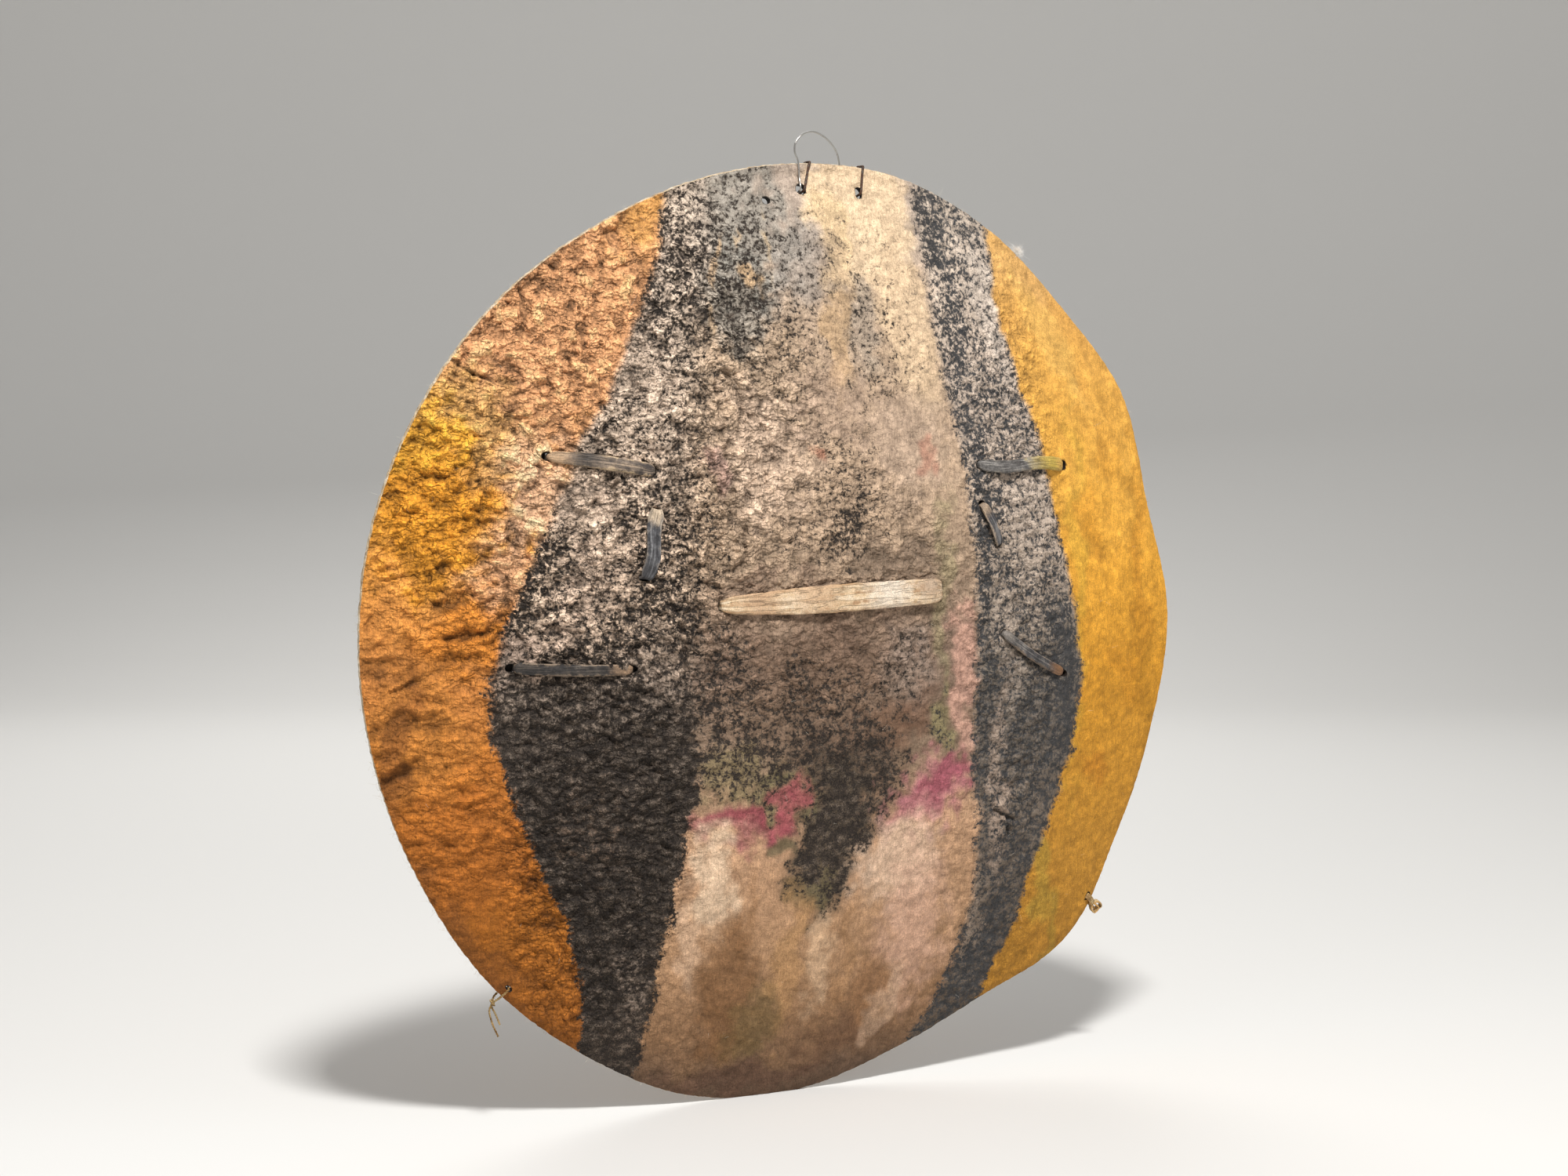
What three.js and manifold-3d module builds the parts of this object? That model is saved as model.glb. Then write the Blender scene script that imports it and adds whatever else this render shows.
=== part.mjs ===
// Painted rawhide shield: a domed hide disc pierced by slits. Hide thongs pass through the slits and
// hold a hand grip, two arm straps and a carrying strap on the hollow back. A bent wire hanger is
// threaded through holes at the top edge, and three small ties are left on the rim.
//
// Millimetres, +Z up, the painted face towards -Y, +X to the right of someone looking at that face.
// The origin is in the middle of the worn flat at the lowest point of the rim.
// A place on the disc is given from its centre: so far to the right, and so far up.

import * as THREE from 'three';
import { mergeVertices } from 'three/addons/utils/BufferGeometryUtils.js';
import Module from 'manifold-3d';

const wasm = await Module();
wasm.setup();

// Hide disc
const hideRadius = 280;
const domeHeight = 50;
const hideThickness = 4.5;
const restFlatDepth = 1.2;
const rimCurlHeight = 2.5;
const rimCurlWidth = 14;
const slopeProbe = 0.5;
const hideSegments = 96;
// The hand-cut outline, every 15 degrees from +X towards +Z, as shares of the hide radius.
const outlineShares = [
  1.007, 0.98, 1.008, 0.995, 1.009, 1.017, 1.003, 0.989, 0.982, 0.99, 0.997, 1.006,
  1.005, 1, 0.998, 1.007, 1.01, 1.022, 1.009, 0.98, 0.981, 1.033, 1.002, 0.997,
];
// How far the rim curls towards the face, at the same angles, as shares of the curl height.
const rimCurlShares = [
  0.1, 0, 0, 0, 0.2, 0.5, 0.9, 1, 1, 1, 1, 0.8,
  0.5, 0.2, -0.3, -0.6, -0.3, 0, 0, 0, 0, 0, 0.1, 0.1,
];
const ringShares = [0.1, 0.2, 0.3, 0.4, 0.5, 0.6, 0.7, 0.79, 0.87, 0.93, 0.97, 1];

// Fits
const seatGap = 0.35;
const slitPlay = 0.7;
const cutOverrun = 4;
const holeSides = 14;
const cornerSteps = 3;
const bandBevelShare = 0.28;
const sharpTurn = THREE.MathUtils.degToRad(35);

// Thongs that show as stitches on the face, from one slit to the other
const thongThickness = 1.8;
const thongCornerRadius = 1.9;
const thongArch = 0.9;
const thongWidths = {
  upper_left_thong: 8.6,
  left_upright_thong: 9.6,
  lower_left_thong: 7,
  upper_right_thong: 9,
  right_upright_thong: 7,
  lower_right_thong: 6.6,
};
const thongPlaceShares = {
  upper_left_thong: [[-0.621, 0.389], [-0.4, 0.357]],
  left_upright_thong: [[-0.4, 0.275], [-0.429, 0.139]],
  lower_left_thong: [[-0.703, -0.04], [-0.461, -0.05]],
  upper_right_thong: [[0.4, 0.357], [0.646, 0.35]],
  right_upright_thong: [[0.4, 0.268], [0.443, 0.182]],
  lower_right_thong: [[0.457, -0.014], [0.635, -0.111]],
};
// How far each slit is worn open beyond the stitch's first end and beyond its last end
const thongOpenSlits = {
  upper_left_thong: [2.2, 0.4],
  left_upright_thong: [0.4, 1],
  lower_left_thong: [4.2, 2.6],
  upper_right_thong: [0.6, 1.8],
  right_upright_thong: [1.6, 0.6],
  lower_right_thong: [0.4, 2],
};
// Sideways bow of a stitch as a share of its thong's width: one bow, then an S over its length.
const thongBowShares = {
  upper_left_thong: [0.1, 0],
  left_upright_thong: [0.05, -0.12],
  lower_left_thong: [-0.1, 0],
  upper_right_thong: [0, -0.16],
  right_upright_thong: [0.05, 0],
  lower_right_thong: [-0.32, 0],
};
// Width of a stitch at its start, middle and end, as shares of its thong's width.
const thongWidthShares = {
  upper_left_thong: [0.75, 1, 0.85],
  left_upright_thong: [1, 0.95, 0.95],
  lower_left_thong: [1, 1, 0.85],
  upper_right_thong: [0.8, 0.9, 1],
  right_upright_thong: [0.9, 1, 0.9],
  lower_right_thong: [0.95, 1, 0.9],
};

// Sinew lashings that close each thong on the back
const lashingThickness = 0.9;
const lashingWidth = 3.4;

// Straps on the back
const strapThickness = 2.4;
const strapTail = 12;
const strapFlat = 2;
const strapStartHandle = 14;
const bowSteps = 9;
const armStrapWidth = 30;
const armStrapRise = 42;
const armStrapMidHandle = 30;
const carryingStrapWidth = 11;
const carryingStrapRise = 34;
const carryingStrapMidHandle = 62;
const carryingStrapDip = 8;

// Hand grip: one rawhide band, its front run on the face and its bow on the back
const gripThickness = 3;
const gripWidth = 16;
const gripRise = 40;
const gripCornerRadius = 2.8;
const gripArch = 1.2;
const gripOpenSlit = 1.2;
const gripPlaceShares = [[-0.261, 0.075], [0.275, 0.089]];
const gripWidthShares = [0.62, 1, 0.97];
const gripSlitWidthShare = 0.62;
const gripBowPower = 2.5;
const gripBowSteps = 18;
const gripLapStart = THREE.MathUtils.degToRad(62);
const gripLapEase = THREE.MathUtils.degToRad(34);
const gripWrapThickness = 1.6;
const gripWrapStart = THREE.MathUtils.degToRad(50);
const gripWrapOverrun = THREE.MathUtils.degToRad(2);
const gripWrapSteps = 10;

// Wire hanger at the top edge
const eyeWireRadius = 0.75;
const loopWireRadius = 0.5;
const hangerHoleInset = 15;
const leftHoleOffset = 4;
const holeSpacing = 41;
const leftHoleWidth = 7;
const rightHoleWidth = 5;
const holeHeight = 7;
const spareHoleOffset = -21;
const spareHoleInset = 20;
const spareHoleWidth = 5;
const leftEyeLean = 6;
const rightEyeLean = 4;
const eyeCornerRadius = 1.9;
const eyeJointGap = 0.6;
const wireSides = 6;
const leftEyeShift = 1.3;
const loopFootShift = -1;
const loopTailShift = -1.4;
const loopTailDrop = 1.2;
const loopHeight = 19.5;
const loopWidth = 33;
const loopLift = 0.4;
const loopAxisDrop = 1.7;
const loopEndReach = 4;
const loopEndHook = 3.2;
const loopSteps = 64;
// The loop above the rim, from its left foot to its right foot, as shares of its width and height.
const loopArcShares = [
  [-0.01, 0.12], [-0.07, 0.35], [-0.06, 0.62], [0.06, 0.86], [0.24, 0.99], [0.42, 0.99],
  [0.62, 0.87], [0.8, 0.66], [0.93, 0.4], [0.985, 0.12],
];

// Ties left on the rim
const tieHoleWidth = 3;
const tieHoleInset = 5.5;
const sinewRadius = 0.7;
const sinewReach = 6;
const sinewKnotLength = 4;
const sinewKnotWidth = 2.6;
const sinewTailLength = 17;
const sinewShortTail = 9;
const sinewTailLean = 5;
const lowerLeftTieAngle = THREE.MathUtils.degToRad(226.5);
const hideKnotWidth = 4.4;
const hideKnotThickness = 1.3;
const hideKnotReach = 5;
const hideKnotLobe = 7.4;
const hideKnotHeight = 5;
const lowerRightTieAngle = THREE.MathUtils.degToRad(320.5);
const tuftLength = 7;
const tuftHeight = 4.4;
const tuftDepth = 4.2;
const tuftAngle = THREE.MathUtils.degToRad(54.5);
const knotSides = 10;

// Smoothly blended value of a table of shares that goes round the disc
function around(shares, angle) {
  const count = shares.length;
  const place = (angle / (2 * Math.PI)) * count;
  const start = Math.floor(place);
  const blend = place - start;
  const [before, first, second, after] = [-1, 0, 1, 2].map(
    (step) => shares[(((start + step) % count) + count) % count],
  );
  const slope = (second - before) / 2;
  const bend = before - 2.5 * first + 2 * second - after / 2;
  const twist = (after - before) / 2 + 1.5 * (first - second);
  return first + blend * (slope + blend * (bend + blend * twist));
}

function outlineRadius(angle) {
  return hideRadius * around(outlineShares, angle);
}

// Depth of the painted face, negative towards its front: a round dome with a slightly curled rim
function faceDepth(right, up) {
  const radius = Math.hypot(right, up);
  const angle = Math.atan2(up, right);
  const edge = outlineRadius(angle);
  const curl = Math.max(0, (radius - edge + rimCurlWidth) / rimCurlWidth) ** 2;
  return -domeHeight * (1 - (radius / edge) ** 2) - rimCurlHeight * around(rimCurlShares, angle) * curl;
}

function faceNormal(right, up) {
  const slopeRight = faceDepth(right + slopeProbe, up) - faceDepth(right - slopeProbe, up);
  const slopeUp = faceDepth(right, up + slopeProbe) - faceDepth(right, up - slopeProbe);
  return new THREE.Vector3(slopeRight, -2 * slopeProbe, slopeUp).normalize();
}

// The point so far in front of the face, or behind it where lift is negative
function hidePoint(right, up, lift) {
  const point = new THREE.Vector3(right, faceDepth(right, up), up);
  return point.addScaledVector(faceNormal(right, up), lift);
}

function backDepth(right, up) {
  return faceDepth(right, up) - hideThickness / faceNormal(right, up).y;
}

// Rise of the rim above the disc's centre, at a place to the right of it
function rimRise(right) {
  let angle = Math.PI / 2;
  for (let pass = 0; pass < 12; pass += 1) {
    angle = Math.acos(right / outlineRadius(angle));
  }
  return outlineRadius(angle) * Math.sin(angle);
}

function outlineAngles() {
  return Array.from({ length: hideSegments }, (_, index) => (index / hideSegments) * 2 * Math.PI);
}

const lowestRim = Math.max(...outlineAngles().map((angle) => -outlineRadius(angle) * Math.sin(angle)));
const centreHeight = lowestRim - restFlatDepth;
const restPlaces = outlineAngles()
  .filter((angle) => outlineRadius(angle) * Math.sin(angle) < -centreHeight)
  .map((angle) => outlineRadius(angle) * Math.cos(angle));
const restMiddle = (Math.min(...restPlaces) + Math.max(...restPlaces)) / 2;
const restMiddleDepth = (faceDepth(restMiddle, -centreHeight) + backDepth(restMiddle, -centreHeight)) / 2;

function solidGeometry(positions, indices) {
  const geometry = new THREE.BufferGeometry();
  geometry.setAttribute('position', new THREE.Float32BufferAttribute(positions, 3));
  geometry.setIndex(indices);
  geometry.computeVertexNormals();
  return geometry;
}

function toManifold(geometry) {
  const plain = geometry.clone();
  plain.deleteAttribute('normal');
  plain.deleteAttribute('uv');
  const merged = mergeVertices(plain);
  return new wasm.Manifold(new wasm.Mesh({
    numProp: 3,
    vertProperties: new Float32Array(merged.attributes.position.array),
    triVerts: new Uint32Array(merged.index.array),
  }));
}

function fromManifold(solid) {
  const mesh = solid.getMesh();
  return solidGeometry(Array.from(mesh.vertProperties), Array.from(mesh.triVerts));
}

function cutFrom(geometry, cutters) {
  const whole = toManifold(geometry);
  return fromManifold(cutters.map(toManifold).reduce((solid, cutter) => solid.subtract(cutter), whole));
}

function joinAll(geometries) {
  return fromManifold(geometries.map(toManifold).reduce((whole, piece) => whole.add(piece)));
}

// Rounds the sharp corners of a path. Each of its stations is a point with the band's width there.
function roundCorners(stations, radius) {
  const rounded = [stations[0]];
  for (let index = 1; index < stations.length - 1; index += 1) {
    const here = stations[index];
    const before = stations[index - 1].point.clone().sub(here.point);
    const after = stations[index + 1].point.clone().sub(here.point);
    const turn = Math.PI - before.angleTo(after);
    if (turn < sharpTurn) {
      rounded.push(here);
      continue;
    }
    const reach = Math.min(radius * Math.tan(turn / 2), before.length() * 0.98, after.length() * 0.98);
    const bend = reach / Math.tan(turn / 2);
    const inward = before.clone().normalize().add(after.clone().normalize()).normalize();
    const centre = here.point.clone().addScaledVector(inward, bend / Math.cos(turn / 2));
    const start = here.point.clone().addScaledVector(before.normalize(), reach).sub(centre);
    const end = here.point.clone().addScaledVector(after.normalize(), reach).sub(centre);
    for (let step = 0; step <= cornerSteps; step += 1) {
      const share = step / cornerSteps;
      const spoke = start.clone().multiplyScalar(Math.sin((1 - share) * turn));
      spoke.addScaledVector(end, Math.sin(share * turn)).divideScalar(Math.sin(turn));
      rounded.push({ ...here, point: centre.clone().add(spoke) });
    }
  }
  rounded.push(stations[stations.length - 1]);
  return rounded;
}

// A band of hide swept along its stations: eight-cornered section, flat ends
function bandGeometry(stations, across, thickness, bevel = thickness * bandBevelShare) {
  const positions = [];
  const indices = [];
  stations.forEach(({ point, width, across: own }, index) => {
    const ahead = stations[Math.min(index + 1, stations.length - 1)].point;
    const behind = stations[Math.max(index - 1, 0)].point;
    const along = ahead.clone().sub(behind).normalize();
    const side = (own ?? across).clone();
    side.addScaledVector(along, -side.dot(along)).normalize();
    const face = along.clone().cross(side);
    const corners = [
      [width / 2, bevel - thickness / 2], [width / 2, thickness / 2 - bevel],
      [width / 2 - bevel, thickness / 2], [bevel - width / 2, thickness / 2],
      [-width / 2, thickness / 2 - bevel], [-width / 2, bevel - thickness / 2],
      [bevel - width / 2, -thickness / 2], [width / 2 - bevel, -thickness / 2],
    ];
    for (const [sideways, outwards] of corners) {
      const corner = point.clone().addScaledVector(side, sideways).addScaledVector(face, outwards);
      positions.push(corner.x, corner.y, corner.z);
    }
  });
  const corners = positions.length / (3 * stations.length);
  for (let ring = 0; ring < stations.length - 1; ring += 1) {
    for (let corner = 0; corner < corners; corner += 1) {
      const a = ring * corners + corner;
      const b = ring * corners + ((corner + 1) % corners);
      indices.push(a, b, a + corners, b, b + corners, a + corners);
    }
  }
  const last = (stations.length - 1) * corners;
  for (let corner = 1; corner < corners - 1; corner += 1) {
    indices.push(0, corner + 1, corner, last, last + corner, last + corner + 1);
  }
  return solidGeometry(positions, indices);
}

// A round wire or strand along a smooth curve through its points
function strandGeometry(points, radius, steps) {
  const section = new THREE.Shape();
  for (let side = 0; side < wireSides; side += 1) {
    const angle = ((side + 0.5) / wireSides) * 2 * Math.PI;
    const [x, y] = [radius * Math.cos(angle), radius * Math.sin(angle)];
    if (side === 0) {
      section.moveTo(x, y);
    } else {
      section.lineTo(x, y);
    }
  }
  section.closePath();
  const route = new THREE.CatmullRomCurve3(points, false, 'centripetal');
  return new THREE.ExtrudeGeometry(section, { steps, bevelEnabled: false, extrudePath: route });
}

// The solid that a hole or a slit takes out of the hide: an oval, so long, so wide, at one place
function ovalCutter(right, up, long, wide, along) {
  const normal = faceNormal(right, up);
  const across = normal.clone().cross(along).normalize();
  const straight = across.clone().cross(normal);
  const cutter = new THREE.CylinderGeometry(1 / 2, 1 / 2, 1, holeSides);
  const depth = hideThickness + 2 * cutOverrun;
  cutter.scale(long, depth, wide);
  const basis = new THREE.Matrix4().makeBasis(straight, normal, straight.clone().cross(normal));
  basis.setPosition(hidePoint(right, up, -hideThickness / 2));
  return cutter.applyMatrix4(basis);
}

// A slit with square ends, open a little further outwards than the leg that passes through it
function slitCutter(seat, end, width, thickness, open) {
  const place = end === 0 ? seat.from : seat.to;
  const outwards = end === 0 ? -1 : 1;
  const normal = faceNormal(place.x, place.y);
  const along = seat.along.clone().addScaledVector(normal, -seat.along.dot(normal)).normalize();
  const long = thickness + 2 * slitPlay + open;
  const cutter = new THREE.BoxGeometry(long, width + 2 * slitPlay, hideThickness + 2 * cutOverrun);
  cutter.translate((outwards * open) / 2, 0, 0);
  const basis = new THREE.Matrix4().makeBasis(along, normal.clone().cross(along), normal);
  basis.setPosition(hidePoint(place.x, place.y, -hideThickness / 2));
  return cutter.applyMatrix4(basis);
}

// Where a stitch lies: its two slits, its length, and its directions on the hide
function stitchSeat(placeShares) {
  const [from, to] = placeShares.map(
    ([right, up]) => new THREE.Vector2(right, up).multiplyScalar(hideRadius),
  );
  const middle = from.clone().add(to).multiplyScalar(1 / 2);
  const normal = faceNormal(middle.x, middle.y);
  const span = hidePoint(to.x, to.y, 0).sub(hidePoint(from.x, from.y, 0));
  const along = span.clone().normalize();
  const across = normal.clone().cross(along).normalize();
  return { from, to, middle, normal, along, across, length: span.length() };
}

// A point between the two legs of a stitch, at a depth behind the face
function betweenLegs(seat, share, depth) {
  const start = hidePoint(seat.from.x, seat.from.y, -depth);
  const end = hidePoint(seat.to.x, seat.to.y, -depth);
  return start.lerp(end, share);
}

// A point of the stitch on the face, bowed sideways and arched off the hide
function onFace(seat, share, lift, bow) {
  const place = seat.from.clone().lerp(seat.to, share);
  const sideways = new THREE.Vector2(seat.from.y - seat.to.y, seat.to.x - seat.from.x).normalize();
  place.addScaledVector(sideways, bow);
  return hidePoint(place.x, place.y, lift);
}

function threeWay([start, middle, end], share) {
  return share < 1 / 2
    ? THREE.MathUtils.lerp(start, middle, Math.sin(share * Math.PI))
    : THREE.MathUtils.lerp(end, middle, Math.sin(share * Math.PI));
}

function faceRun(seat, thickness, width, widthShares, arch, bowShares) {
  const shares = [1, 0.92, 0.8, 0.65, 0.5, 0.35, 0.2, 0.08, 0];
  return shares.map((share) => {
    const lift = seatGap + thickness / 2 + arch * Math.sin(share * Math.PI);
    const oneBow = bowShares[0] * Math.sin(share * Math.PI);
    const sBow = bowShares[1] * Math.sin(2 * share * Math.PI);
    const bow = width * (oneBow + sBow);
    return { point: onFace(seat, share, lift, bow), width: width * threeWay(widthShares, share) };
  });
}

// Depths of the layers behind the face where a strap's end wraps the closed back of a thong
function stackDepths(strapWidth) {
  const dishRise = domeHeight * (strapWidth / 2 / hideRadius) ** 2;
  const tail = hideThickness + seatGap + dishRise + strapThickness / 2;
  const inner = tail + strapThickness / 2 + seatGap + thongThickness / 2;
  const outer = inner + thongThickness + seatGap;
  const over = outer + thongThickness / 2 + seatGap + strapThickness / 2;
  return { tail, inner, outer, over };
}

function thongGeometry(name, strapWidth) {
  const seat = stitchSeat(thongPlaceShares[name]);
  const { inner, outer } = stackDepths(strapWidth);
  const width = thongWidths[name];
  const endShares = thongWidthShares[name];
  const [startWidth, endWidth] = [width * endShares[0], width * endShares[2]];
  const inset = (thongCornerRadius * 1.3) / seat.length;
  const stations = [
    { point: betweenLegs(seat, inset, outer), width: endWidth },
    { point: betweenLegs(seat, 1, outer), width: endWidth },
    ...faceRun(seat, thongThickness, width, endShares, thongArch, thongBowShares[name]),
    { point: betweenLegs(seat, 0, inner), width: startWidth },
    { point: betweenLegs(seat, 1 - inset, inner), width: startWidth },
  ];
  return bandGeometry(roundCorners(stations, thongCornerRadius), seat.across, thongThickness);
}

// A sinew wrap round the overlapping tails of a thong, between its first slit and its strap
function lashingGeometry(name, strapWidth) {
  const seat = stitchSeat(thongPlaceShares[name]);
  const { inner, outer } = stackDepths(strapWidth);
  const endShares = thongWidthShares[name];
  const clear = seatGap + lashingThickness / 2;
  const halfWidth = (thongWidths[name] * Math.max(endShares[0], endShares[2])) / 2 + clear;
  const halfDepth = (outer - inner) / 2 + thongThickness / 2 + clear;
  const free = (seat.length - strapWidth) / 2;
  const centre = betweenLegs(seat, (free + thongCornerRadius) / 2 / seat.length, (inner + outer) / 2);
  const corner = (sideways, outwards) => ({
    point: centre.clone()
      .addScaledVector(seat.across, sideways * halfWidth)
      .addScaledVector(seat.normal, outwards * halfDepth),
    width: lashingWidth,
  });
  const gap = seatGap / halfDepth;
  const ring = [
    corner(1, gap / 2), corner(1, 1), corner(-1, 1), corner(-1, -1), corner(1, -1), corner(1, -gap / 2),
  ];
  return bandGeometry(roundCorners(ring, lashingThickness), seat.along, lashingThickness);
}

// The end of a strap: its tail lies on the hide under the thong, turns round it and comes back over
function strapEnd(seat, thongWidth, strapWidth, towards) {
  const { tail, inner, over } = stackDepths(strapWidth);
  const base = betweenLegs(seat, 1 / 2, inner);
  const outwards = seat.normal.clone().negate();
  const inwards = seat.across.clone();
  if (inwards.dot(towards) < 0) {
    inwards.negate();
  }
  const radius = (over - tail) / 2;
  const at = (forward, depth) => base.clone()
    .addScaledVector(inwards, forward)
    .addScaledVector(outwards, depth - inner);
  const points = [at(thongWidth / 2 + strapTail, tail), at(0, tail)];
  for (let step = 0; step <= 2 * cornerSteps; step += 1) {
    const angle = (step / cornerSteps - 1) * (Math.PI / 2);
    const forward = -thongWidth / 2 - radius * Math.cos(angle);
    points.push(at(forward, (tail + over) / 2 + radius * Math.sin(angle)));
  }
  points.push(at(0, over), at(thongWidth / 2 + strapFlat, over));
  return { points, inwards, side: seat.along.clone() };
}

function strapGeometry(firstName, lastName, width, rise, midHandle, dip) {
  const seats = [firstName, lastName].map((name) => stitchSeat(thongPlaceShares[name]));
  const [firstMiddle, lastMiddle] = seats.map(({ middle }) => hidePoint(middle.x, middle.y, 0));
  const span = lastMiddle.clone().sub(firstMiddle);
  const first = strapEnd(seats[0], thongWidths[firstName], width, span);
  const last = strapEnd(seats[1], thongWidths[lastName], width, span.clone().negate());
  const [start, end] = [first.points[first.points.length - 1], last.points[last.points.length - 1]];
  const crown = start.clone().add(end).multiplyScalar(1 / 2);
  crown.add(new THREE.Vector3(0, rise, -dip));
  const heading = end.clone().sub(start).normalize();
  const rising = new THREE.CubicBezierCurve3(
    start,
    start.clone().addScaledVector(first.inwards, strapStartHandle),
    crown.clone().addScaledVector(heading, -midHandle),
    crown,
  );
  const falling = new THREE.CubicBezierCurve3(
    crown,
    crown.clone().addScaledVector(heading, midHandle),
    end.clone().addScaledVector(last.inwards, strapStartHandle),
    end,
  );
  const bow = [
    ...rising.getSpacedPoints(bowSteps).slice(1),
    ...falling.getSpacedPoints(bowSteps).slice(1, -1),
  ];
  const stations = [
    ...first.points.map((point) => ({ point, width, across: first.side })),
    ...bow.map((point, index) => {
      const share = THREE.MathUtils.smoothstep((index + 1) / (bow.length + 1), 0, 1);
      return { point, width, across: first.side.clone().lerp(last.side, share) };
    }),
    ...last.points.reverse().map((point) => ({ point, width, across: last.side })),
  ];
  return bandGeometry(stations, first.side, strapThickness);
}

// A point of the grip's bow on the back, at an angle from its right leg, offset outwards
function gripBowPoint(seat, angle, offset) {
  const legDepth = hideThickness + seatGap;
  const start = betweenLegs(seat, 0, legDepth);
  const end = betweenLegs(seat, 1, legDepth);
  const centre = start.clone().lerp(end, 1 / 2);
  const reach = start.distanceTo(end) / 2;
  const power = 2 / gripBowPower;
  const at = (place) => {
    const [run, rise] = [Math.cos(place), Math.max(0, Math.sin(place))];
    return new THREE.Vector2(reach * Math.sign(run) * Math.abs(run) ** power, gripRise * rise ** power);
  };
  const probe = gripWrapOverrun / 2;
  const here = at(angle);
  const along = at(angle + probe).sub(at(angle - probe)).normalize();
  here.add(new THREE.Vector2(along.y, -along.x).multiplyScalar(offset));
  return centre.addScaledVector(seat.along, here.x).addScaledVector(seat.normal, -here.y);
}

function gripBandGeometry(seat) {
  const lap = gripThickness + seatGap;
  const endWidth = gripWidth * gripSlitWidthShare;
  const bowStation = (angle, offset) => {
    const open = THREE.MathUtils.smoothstep(Math.sin(angle), 0, 1 / 2);
    return {
      point: gripBowPoint(seat, angle, offset),
      width: THREE.MathUtils.lerp(endWidth, gripWidth, open),
    };
  };
  const outer = [];
  const inner = [];
  for (let step = 1; step <= gripBowSteps; step += 1) {
    const share = step / gripBowSteps;
    const outerAngle = share * (Math.PI - gripLapStart);
    const offset = lap * THREE.MathUtils.smoothstep(outerAngle, 0, gripLapEase);
    outer.unshift(bowStation(outerAngle, offset));
    inner.push(bowStation(Math.PI - share * (Math.PI - gripLapStart), 0));
  }
  const stations = [
    ...outer,
    { point: betweenLegs(seat, 1, hideThickness / 2), width: endWidth },
    ...faceRun(seat, gripThickness, gripWidth, gripWidthShares, gripArch, [0, 0]),
    { point: betweenLegs(seat, 0, hideThickness / 2), width: endWidth },
    ...inner,
  ];
  return bandGeometry(roundCorners(stations, gripCornerRadius), seat.across, gripThickness);
}

// A leather sleeve sewn round the lapped ends of the grip band
function gripWrapGeometry(seat) {
  const lap = gripThickness + seatGap;
  const sleeve = (thickness, width, start) => {
    const stations = [];
    for (let step = 0; step <= gripWrapSteps; step += 1) {
      const angle = THREE.MathUtils.lerp(start, Math.PI - start, step / gripWrapSteps);
      stations.push({ point: gripBowPoint(seat, angle, lap / 2), width });
    }
    return bandGeometry(stations, seat.across, thickness, gripThickness * bandBevelShare);
  };
  const holeThickness = gripThickness + lap + 2 * seatGap;
  const holeWidth = gripWidth + 2 * seatGap;
  const walls = 2 * gripWrapThickness;
  const outside = sleeve(holeThickness + walls, holeWidth + walls, gripWrapStart);
  return cutFrom(outside, [sleeve(holeThickness, holeWidth, gripWrapStart - gripWrapOverrun)]);
}

const gripSeat = stitchSeat(gripPlaceShares);
const leftHole = { right: leftHoleOffset, up: rimRise(leftHoleOffset) - hangerHoleInset };
const rightHoleOffset = leftHoleOffset + holeSpacing;
const rightHole = { right: rightHoleOffset, up: rimRise(rightHoleOffset) - hangerHoleInset };
const spareHole = { right: spareHoleOffset, up: rimRise(spareHoleOffset) - spareHoleInset };

function tieHole(angle) {
  const radius = outlineRadius(angle) - tieHoleInset;
  return { right: radius * Math.cos(angle), up: radius * Math.sin(angle) };
}

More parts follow.
